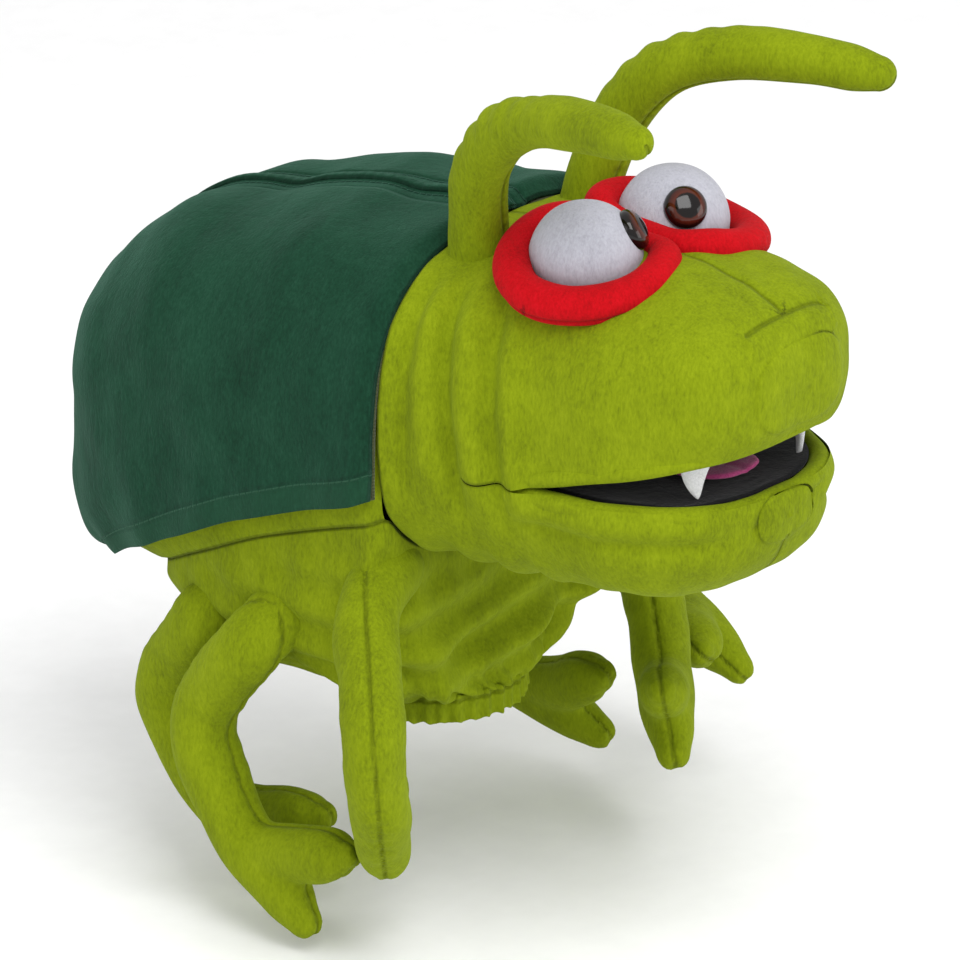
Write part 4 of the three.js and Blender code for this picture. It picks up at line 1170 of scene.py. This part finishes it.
for side, sign in SIDES:
    centre = np.array([sign * EYE_X, EYE_Y, EYE_Z])
    level = math.cos(PUPIL_LIFT)
    look = np.array(
        [-sign * math.sin(PUPIL_TURN) * level, -math.cos(PUPIL_TURN) * level, math.sin(PUPIL_LIFT)]
    )
    eyeball = ball(f"eyeball_plush_{side}", centre, EYE_RADIUS, lumps=0.25, seed=40)
    dress(
        eyeball,
        white_plush,
        "head",
        replaces=(f"eyeball_skin_{side}", f"eyeball_stuffing_{side}"),
    )
    a = np.linspace(0, np.pi / 2, 18)
    dome = np.stack([BUTTON_RADIUS * np.cos(a) ** 0.9, 1.0 + (BUTTON_DOME - 1.0) * np.sin(a)], -1)
    dome[-1, 0] = 0
    outline = np.vstack(
        [[[0, -2.2], [BUTTON_RADIUS - 0.6, -2.2], [BUTTON_RADIUS, -1.6], [BUTTON_RADIUS, 0.6]], dome]
    )
    button = lathe(f"eye_dome_{side}", outline, centre + look * (EYE_RADIUS - 1.8), look)
    dress(button, eye_plastic, "head", replaces=(f"eye_button_{side}",))
    dress(recalculated(make_lid(side, sign)), red_plush, "head", replaces=(f"eyelid_{side}",))


# ---------------------------------------------------------------- antennae


def antenna_path(sign):
    """From inside the head's top, up, over and forward to the tip."""
    spots = np.array(
        [
            (0, 0, -0.02),
            (0.08, 0.02, 0.22),
            (0.24, 0.08, 0.54),
            (0.36, 0.22, 0.81),
            (0.54, 0.44, 0.96),
            (0.74, 0.7, 1.02),
            (0.94, 0.93, 1.03),
        ]
    )
    out, reach, height = spots.T
    return np.stack(
        [
            sign * (ANTENNA_X + ANTENNA_SPREAD * out),
            ANTENNA_Y - ANTENNA_REACH * reach,
            ANTENNA_Z + ANTENNA_RISE * height - sign * ANTENNA_TIP_LIFT * reach**2,
        ], -1
    )


for side, sign in SIDES:
    path = threaded(antenna_path(sign), 150)
    t = np.linspace(0, 1, len(path))
    girth = profile(
        [
            (0, ANTENNA_BASE_RADIUS + 0.8),
            (0.05, ANTENNA_BASE_RADIUS),
            (0.4, ANTENNA_BASE_RADIUS - 0.8),
            (0.92, ANTENNA_TIP_RADIUS),
            (1, ANTENNA_TIP_RADIUS - 2.2),
        ]
    )(t)

    def lumps(p, turn, seed=50 + int(sign)):
        inside = bump(turn - np.pi, 0.9)[None]
        bend = bump(np.linspace(0, 1, len(p)) - 0.42, 0.16)[:, None]
        creases = 0.8 * np.sin(np.linspace(0, 1, len(p)) * 2 * np.pi * 15)[:, None]
        return (
            0.45 * unevenness(p, 40, seed)[:, None]
            + creases * inside * bend
            - 0.9 * bump(np.minimum(turn, 2 * np.pi - turn), 0.13)[None]
        )

    horn = tube(
        f"antenna_plush_{side}",
        path,
        girth,
        48,
        side=(-sign * 0.3, -0.5, -0.8),
        caps=(False, True),
        lumps=lumps,
    )
    root = path[0] * MM
    dress(
        horn,
        lime_plush,
        blend=("head", f"antenna_{side}", tuple(root + [0, 0, 0.004]), tuple(root + [0, 0, 0.022])),
        replaces=(f"antenna_skin_{side}", f"antenna_stuffing_{side}"),
    )


# ---------------------------------------------------------------- body


def make_torso():
    """The upper body: sections above the belly seam from the neck to the rounded rear end."""
    y, scale = stations(NECK_Y + 0.6, BODY_REAR_Y, 110, 1.5, 8)
    seam_line = hem_height(y) - BELLY_SEAM_DROP
    grid, reach = shell(y, scale, BODY, BODY_POWER, np.where(scale < 1, -1e3, seam_line), "above", 221)
    t = np.linspace(-1, 1, 221)
    from_seam = reach[:, None] * (1 - np.abs(t))[None]
    tuck = 1 - ease(grid[..., 1], NECK_Y, NECK_Y + 9)
    height = 0.8 * unevenness(grid, 50, 60) - 0.9 * bump(from_seam, 2.5) - 4.5 * tuck**2
    moved = raised(grid, height)
    torso = surface("torso_plush", moved, {"seam": from_seam * MM, "run": grid[..., 1] * MM})
    last = int(np.argmax(seam_line <= BODY[2](y)))
    return torso, moved[: last + 1, 0]


def belly_rim(border):
    """Half of the belly's upper edge: from the rear middle along the right seam to the neck, then down
    round the neck to its lowest point."""
    y = np.array([NECK_Y + 0.6])
    low, _ = arcs(y, *(f(y) for f in HEAD), HEAD_POWER, hem_height(y) - BELLY_SEAM_DROP, "below", 161)
    return spread(np.vstack([border[::-1], low[0, 1:81]]), 150)


def make_belly(border):
    """The belly: cubic Bezier curves from each point of its rim down to the cuff, with gathers that deepen
    towards the elastic."""
    rim = belly_rim(border)
    rim[0, 0] = 0
    rim[-1, 0] = 0
    rim = np.vstack([rim, rim[-2:0:-1] * [-1, 1, 1]])
    count = len(rim)
    turn = np.pi / 2 + 2 * np.pi * np.arange(count) / count
    cuff = np.stack(
        [
            (CUFF_RADIUS - 0.5) * np.cos(turn),
            (CUFF_RADIUS - 0.5) * np.sin(turn),
            np.full(count, CUFF_HEIGHT - 1.0),
        ],
        -1,
    )
    t = np.linspace(0, 1, 90)[:, None, None]
    plan = (rim - cuff) * [1, 1, 0]
    drop = rim[:, 2:] - cuff[:, 2:]
    below = rim - UP * (0.62 * drop) + plan * 0.03
    out = cuff + plan * 0.62 + UP * np.minimum(drop * 0.16, 9)
    grid = (1 - t) ** 3 * rim + 3 * (1 - t) ** 2 * t * below + 3 * (1 - t) * t**2 * out + t**3 * cuff
    s = t[..., 0]
    wander = turn[None] + 0.05 * np.sin(9 * s + 3 * turn[None])
    gathers = np.sin(31 * wander) * 0.7 + np.sin(43 * wander + 1.3) * 0.45 + np.sin(19 * wander + 0.4) * 0.6
    broad = np.sin(9 * wander + 2.1) + 0.6 * np.sin(14 * wander + 0.7)
    slack = np.sin(np.pi * np.clip(s, 0, 1)) ** 1.2
    swags = np.sin(2 * np.pi * (grid[..., 2] + 10 * np.sin(2 * turn)[None] + 0.12 * grid[..., 1]) / 21)
    front = ease(-grid[..., 1], -30, 25)
    height = (
        1.7 * gathers * ease(s, 0.55, 0.95) * (1 - 0.35 * ease(s, 0.95, 1))
        + 0.8 * (np.sin(29 * wander) + np.sin(17 * wander + 1)) * bump(s - 0.1, 0.09)
        + 2.8 * broad * slack * ease(s, 0.1, 0.6)
        + 3.4 * swags * slack * (0.45 + 0.55 * front)
        + 1.2 * unevenness(grid, 45, 61) * slack
    )
    height *= ease(s, 0.0, 0.12) * ease(drop[:, 0], 12, 70)[None]
    centre = (0, 20, 70)
    ring = np.concatenate([grid, grid[:, :1]], 1)
    tall = np.concatenate([height, height[:, :1]], 1)
    moved = raised(ring, tall, centre)
    moved[:, -1] = moved[:, 0]
    down = np.cumsum(np.linalg.norm(np.diff(np.concatenate([ring[:1], ring]), axis=0), axis=2), 0)
    run = np.repeat(
        np.r_[0, np.cumsum(np.linalg.norm(np.diff(ring[0], axis=0), axis=1))][None], len(ring), 0
    )
    return surface("belly_plush", moved, {"seam": down * MM, "run": run * MM})


def make_cuff():
    """The gathered casing: a rounded flat section carried round the opening, its radius and edges rippled
    by the elastic."""
    turn = np.linspace(0, 2 * np.pi, 420, endpoint=False)[None]
    a = np.linspace(0, 2 * np.pi, 40, endpoint=False)[:, None]
    c, s = np.cos(a), np.sin(a)
    deep = CUFF_DEPTH / 2 * np.sign(c) * np.abs(c) ** 0.6
    tall = CUFF_HEIGHT / 2 * np.sign(s) * np.abs(s) ** 0.6
    ripple = 0.62 * np.sin(37 * turn + 0.6 * np.sin(5 * turn)) + 0.38 * np.sin(23 * turn + 1.1)
    radius = (
        CUFF_RADIUS
        - CUFF_DEPTH / 2
        + deep
        + ripple * (1.1 + 0.5 * np.abs(s)) * (c > -0.5)
        - 0.8 * (1 - np.abs(s)) * (c > 0)
    )
    z = CUFF_HEIGHT / 2 + tall + 0.7 * np.sin(37 * turn + 0.9) * np.abs(s)
    z = np.maximum(z, 0.0)
    grid = np.stack([radius * np.cos(turn), radius * np.sin(turn), z], -1)
    grid = np.concatenate([grid, grid[:1]])
    seam = np.abs(grid[..., 2] - CUFF_HEIGHT + 2.5)
    run = np.repeat((turn * CUFF_RADIUS), len(grid), 0)
    return recalculated(surface("cuff_casing_plush", grid, {"seam": seam * MM, "run": run * MM}, wrap=True))


torso_plush, torso_border = make_torso()
dress(
    torso_plush,
    lime_plush,
    "torso",
    replaces=("torso_skin", "abdomen_stuffing_right", "abdomen_stuffing_left"),
)
dress(thick(make_belly(torso_border), 1.8), lime_plush, "torso", replaces=("belly_skin",))
dress(make_cuff(), lime_plush, "torso", replaces=("cuff_casing",))

sleeve_path = threaded([(0, 0, 3), (0, 4, 45), (0, 10, 90), (0, -4, 135), (0, NECK_Y + 2, 158)], 80)
sleeve = tube(
    "hand_sleeve_cloth",
    sleeve_path,
    SLEEVE_RADIUS + 0.5,
    72,
    caps=(False, False),
    lumps=lambda p, turn: 0.7 * np.sin(9 * turn + p[:, 2:] / 14),
)
dress(thick(sleeve, 0.8), lining_cloth, "torso", replaces=("hand_sleeve_right", "hand_sleeve_left"))


# ---------------------------------------------------------------- wing cover


def wing_grid(stand, count=281):
    """Sections of the body's dome, grown by stand and kept above the hem, with each point's distance from
    the hem and from the ridge and its run along the ridge."""
    y, scale = stations(WING_FRONT_Y, BODY_REAR_Y + stand * 0.4, 130, stand * 0.6, 12)
    grid, reach = shell(
        y, scale, BODY, BODY_POWER, np.where(scale < 1, -1e3, hem_height(y)), "above", count, stand
    )
    t = np.linspace(-1, 1, count)
    from_hem = reach[:, None] * (1 - np.abs(t))[None]
    from_ridge = reach[:, None] * np.abs(t)[None]
    along = np.r_[0, np.cumsum(np.linalg.norm(np.diff(grid[:, count // 2], axis=0), axis=1))]
    closed = hem_height(y) <= BODY[2](y) - stand
    edge = np.where(closed[:, None], 60 + from_hem, from_hem)
    run = np.repeat(along[:, None], count, 1)
    return grid, edge, from_ridge, run


def make_wings():
    """The two wing cases, with the hem flared at the sides and drawn in at the rear, and the ridge strip
    between them."""
    grid, edge, from_ridge, run = wing_grid(WING_STAND)
    flare = 1.6 * bump(edge, 16) + 0.9 * np.sin(run * 2 * np.pi / HEM_RIPPLE) * bump(edge, 22)
    flare -= 4.2 * bump(edge, 20) * ease(grid[..., 1], 70, 140)
    height = (
        flare
        + 1.5 * unevenness(grid, 75, 70)
        + 0.5 * unevenness(grid, 30, 71)
        - 6.0 * bump(run, 4.0)
        - 1.3 * bump(from_ridge - 8, 4)
        + 0.9 * bump(from_ridge, 5)
    )
    grid = raised(grid, height)
    middle = grid.shape[1] // 2
    marks = {
        "seam": run,
        "run": grid[..., 2],
        "hem": edge,
        "hem_run": run,
        "ridge": from_ridge,
        "ridge_run": run,
    }
    for side, columns in (("right", slice(0, middle + 1)), ("left", slice(middle, None))):
        part = {k: v[:, columns] * MM for k, v in marks.items()}
        piece = thick(surface(f"wing_case_plush_{side}", grid[:, columns], part), 2.0)
        yield side, piece
    ridge_path = grid[:, middle]
    across = np.array([1.0, 0, 0])
    up = unit(np.cross(across, np.gradient(ridge_path, axis=0)))
    if up[10, 2] < 0:
        up = -up
    a = np.linspace(0, np.pi, 17)
    wide, tall = RIDGE_HALF_WIDTH * np.cos(a), 1.9 * np.sin(a) ** 0.7 - 0.6
    rise = tall[None] + 0.15 * unevenness(ridge_path, 12, 75)[:, None]
    strip = ridge_path[:, None] + across * wide[None, :, None] + up[:, None] * rise[..., None]
    run, far = run[:, :17], np.full(strip.shape[:2], 60.0)
    sewn = (RIDGE_HALF_WIDTH - np.abs(wide))[None] + np.zeros(strip.shape[:2])
    marks = {"seam": sewn, "run": run, "hem": far, "hem_run": run, "ridge": far, "ridge_run": run}
    yield "ridge", thick(surface("wing_ridge_plush", strip, {k: v * MM for k, v in marks.items()}), 1.0)


WING_BLEND = ("torso", "wing_cover", (0, -0.040, 0.2), (0, 0.02, 0.2))
for side, piece in make_wings():
    node = "wing_seam_ridge" if side == "ridge" else f"wing_case_{side}"
    dress(piece, green_plush, blend=WING_BLEND, replaces=(node,))


def make_lining():
    """The cloth under each wing case: the same dome, set in, and drawn further in at the ridge, the rear
    hem and the front."""
    grid, edge, from_ridge, run = wing_grid(WING_STAND - LINING_SET_IN, 181)
    hem = (1.0 - 4.0 * ease(grid[..., 1], 70, 140)) * bump(edge, 18)
    height = hem - 1.6 * bump(from_ridge - 8, 6) - 3.0 * bump(run, 6)
    grid = raised(grid, height + unevenness(grid, 75, 70))
    for side, columns in (("right", slice(0, 91)), ("left", slice(90, None))):
        yield side, thick(surface(f"wing_lining_cloth_{side}", grid[:, columns]), 0.6)


for side, piece in make_lining():
    dress(piece, lining_cloth, blend=WING_BLEND, replaces=(f"wing_lining_{side}",))


# ---------------------------------------------------------------- legs

LEG_OUTLINE = np.array(
    [
        (0, -0.02),
        (-0.057, -0.12),
        (-0.19, -0.29),
        (-0.27, -0.44),
        (-0.22, -0.63),
        (-0.086, -0.8),
        (0.057, -0.914),
        (0.135, -0.985),
    ]
)
TOE_OUTLINE = np.array([(-0.07, -0.8), (0.1, -0.775), (0.22, -0.74), (0.30, -0.718)])


def turning(axis, angle):
    """Rotation matrix about x, y or z by an angle in degrees."""
    c, s = math.cos(math.radians(angle)), math.sin(math.radians(angle))
    i, j = {"x": (1, 2), "y": (2, 0), "z": (0, 1)}[axis]
    m = np.eye(3)
    m[i, i], m[j, j], m[i, j], m[j, i] = c, c, -s, s
    return m


def make_leg(name, hip, turn, out, swing, size, seed):
    """Two stuffed tubes, leg and toe, melted into one skin by a voxel remesh and smoothing, then a seam
    pressed in all round the edge."""
    sign = math.copysign(1, hip[0])
    spin = turning("y", -sign * out) @ turning("x", -swing) @ turning("z", turn)
    hip = np.array(hip, float)

    def placed(outline, count, sunk=0.0):
        flat = np.stack([0 * outline[:, 0], -outline[:, 0], outline[:, 1]], -1) * LEG_LENGTH * size
        points = flat @ spin.T + hip
        points[0, 0] -= sign * sunk
        return threaded(points, count)

    side = spin[:, 0]
    thigh = placed(LEG_OUTLINE, 90, LEG_SUNK)
    girth = profile(
        [(0, 0.98), (0.45, 1), (0.75, 0.94), (0.93, 0.8), (1, 0.55)]
    )(np.linspace(0, 1, 90)) * LEG_RADIUS
    toe = placed(TOE_OUTLINE, 40)
    toe_girth = profile([(0, 0.8), (0.7, 0.84), (0.92, 0.72), (1, 0.5)])(np.linspace(0, 1, 40)) * LEG_RADIUS
    parts = [
        tube("a", thigh, girth, 32, side=side, squash=0.9, marks=False),
        tube("b", toe, toe_girth, 32, side=side, squash=0.9, marks=False),
    ]
    leg = joined(f"leg_plush_{name}", parts)
    melt = leg.modifiers.new("melt", "REMESH")
    melt.mode = "VOXEL"
    melt.voxel_size = 1.9 * MM
    soften = leg.modifiers.new("soften", "SMOOTH")
    soften.factor = 0.6
    soften.iterations = 9
    made = leg.evaluated_get(bpy.context.evaluated_depsgraph_get())
    mesh = bpy.data.meshes.new_from_object(made)
    leg.modifiers.clear()
    leg.data = mesh
    p = coordinates(leg)
    normal = np.empty(len(p) * 3)
    mesh.vertices.foreach_get("normal", normal)
    normal = normal.reshape(-1, 3)
    local = (p - hip) @ spin
    edge = np.abs(local[:, 0])
    rim = 1 - ease(np.abs((normal @ side)), 0.35, 0.8)
    along = -local[:, 2]
    pucker = 0.22 * np.sin(along * 2 * np.pi / 7.5 + 2 * np.sign(local[:, 0])) * bump(edge, 6) * rim
    knee = bump(
        local[:, 1] - 0.17 * LEG_LENGTH * size, 12
    ) * bump(local[:, 2] + 0.44 * LEG_LENGTH * size, 26)
    crease = 0.25 * np.sin(along * 2 * np.pi / 10) * knee
    height = 0.7 * unevenness(p, 32, seed) - 1.1 * bump(edge, 1.9) * rim + pucker + crease
    p = p + normal * height[:, None]
    mesh.vertices.foreach_set("co", (p * MM).reshape(-1))
    for key, values in (("seam", np.where(rim > 0.4, edge, 50.0)), ("run", along)):
        layer = mesh.attributes.new(key, "FLOAT", "POINT")
        layer.data.foreach_set("value", (values * MM).astype(np.float32))
    mesh.polygons.foreach_set("use_smooth", np.ones(len(mesh.polygons), bool))
    mesh.update()
    return leg


for number, (name, (hip, turn, out, swing, size)) in enumerate(LEGS.items()):
    leg = make_leg(name, hip, turn, out, swing, size, 80 + number)
    dress(leg, lime_plush, f"leg_{name}", replaces=(f"leg_skin_{name}", f"leg_stuffing_{name}"))


# ---------------------------------------------------------------- carried-over pieces

CARRIED = {
    "finger_pocket": lining_cloth,
    "thumb_pocket": lining_cloth,
    "upper_mouth_board": mouth_board,
    "lower_mouth_board": mouth_board,
    "cuff_elastic": elastic_band,
    "eye_washer_right": washer_plastic,
    "eye_washer_left": washer_plastic,
}
for name, material in CARRIED.items():
    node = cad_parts[name]
    if not node.material_slots:
        node.data.materials.append(material)
    for slot in node.material_slots:
        slot.material = material


# ---------------------------------------------------------------- floor, lights and camera


def floor_material():
    material, web, shader = new_material("studio_floor", 0.9)
    paper = web.noise(web.place(), 60.0, 4.0)
    web.link(
        web.ramp(paper, [(0.3, (0.90, 0.90, 0.90)), (0.7, (0.93, 0.93, 0.93))]), shader.inputs["Base Color"]
    )
    return material


lowest = min(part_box(f"leg_skin_{name}")[0][2] for name in LEGS)
reach = np.linspace(-4000, 4000, 9)
floor_grid = np.stack([*np.meshgrid(reach, reach, indexing="ij"), np.full((9, 9), lowest / MM - 3.0)], -1)
floor = surface("studio_floor", floor_grid, weld=0)
floor.data.materials.append(floor_material())
if floor.data.polygons[0].normal.z < 0:
    floor.data.flip_normals()

world = bpy.data.worlds.new("studio")
world.use_nodes = True
world.node_tree.nodes["Background"].inputs["Color"].default_value = (1, 1, 1, 1)
world.node_tree.nodes["Background"].inputs["Strength"].default_value = 0.82
bpy.context.scene.world = world


def lamp(name, place, size, power):
    """A soft square light that faces the middle of the puppet."""
    light = bpy.data.lights.new(name, "AREA")
    light.shape = "SQUARE"
    light.size = size
    light.energy = power
    lit = bpy.data.objects.new(name, light)
    lit.location = place
    lit.rotation_mode = "QUATERNION"
    lit.rotation_quaternion = (Vector((0, 0, 0.12)) - Vector(place)).to_track_quat("-Z", "Y")
    bpy.context.scene.collection.objects.link(lit)


lamp("key", (-0.7, -1.2, 2.0), 1.4, 40)
lamp("fill", (-2.2, 0.3, 0.8), 1.6, 9)
lamp("front", (0.9, -2.2, 0.6), 1.2, 11)

VIEW_AZIMUTH, VIEW_ELEVATION, VIEW_DISTANCE = math.radians(-50), math.radians(22), 4.0
VIEW_CENTRE = Vector((0.0026, -0.0234, 0.0997))
level = math.cos(VIEW_ELEVATION)
back = Vector((math.sin(VIEW_AZIMUTH) * level, -math.cos(VIEW_AZIMUTH) * level, math.sin(VIEW_ELEVATION)))
camera_data = bpy.data.cameras.new("camera")
camera_data.sensor_width = 36
camera_data.lens = 360
camera_data.clip_end = 50
camera = bpy.data.objects.new("camera", camera_data)
camera.location = VIEW_CENTRE + back * VIEW_DISTANCE
camera.rotation_mode = "QUATERNION"
camera.rotation_quaternion = (-back).to_track_quat("-Z", "Y")
bpy.context.scene.collection.objects.link(camera)
bpy.context.scene.camera = camera
bpy.context.scene.view_settings.view_transform = "Standard"
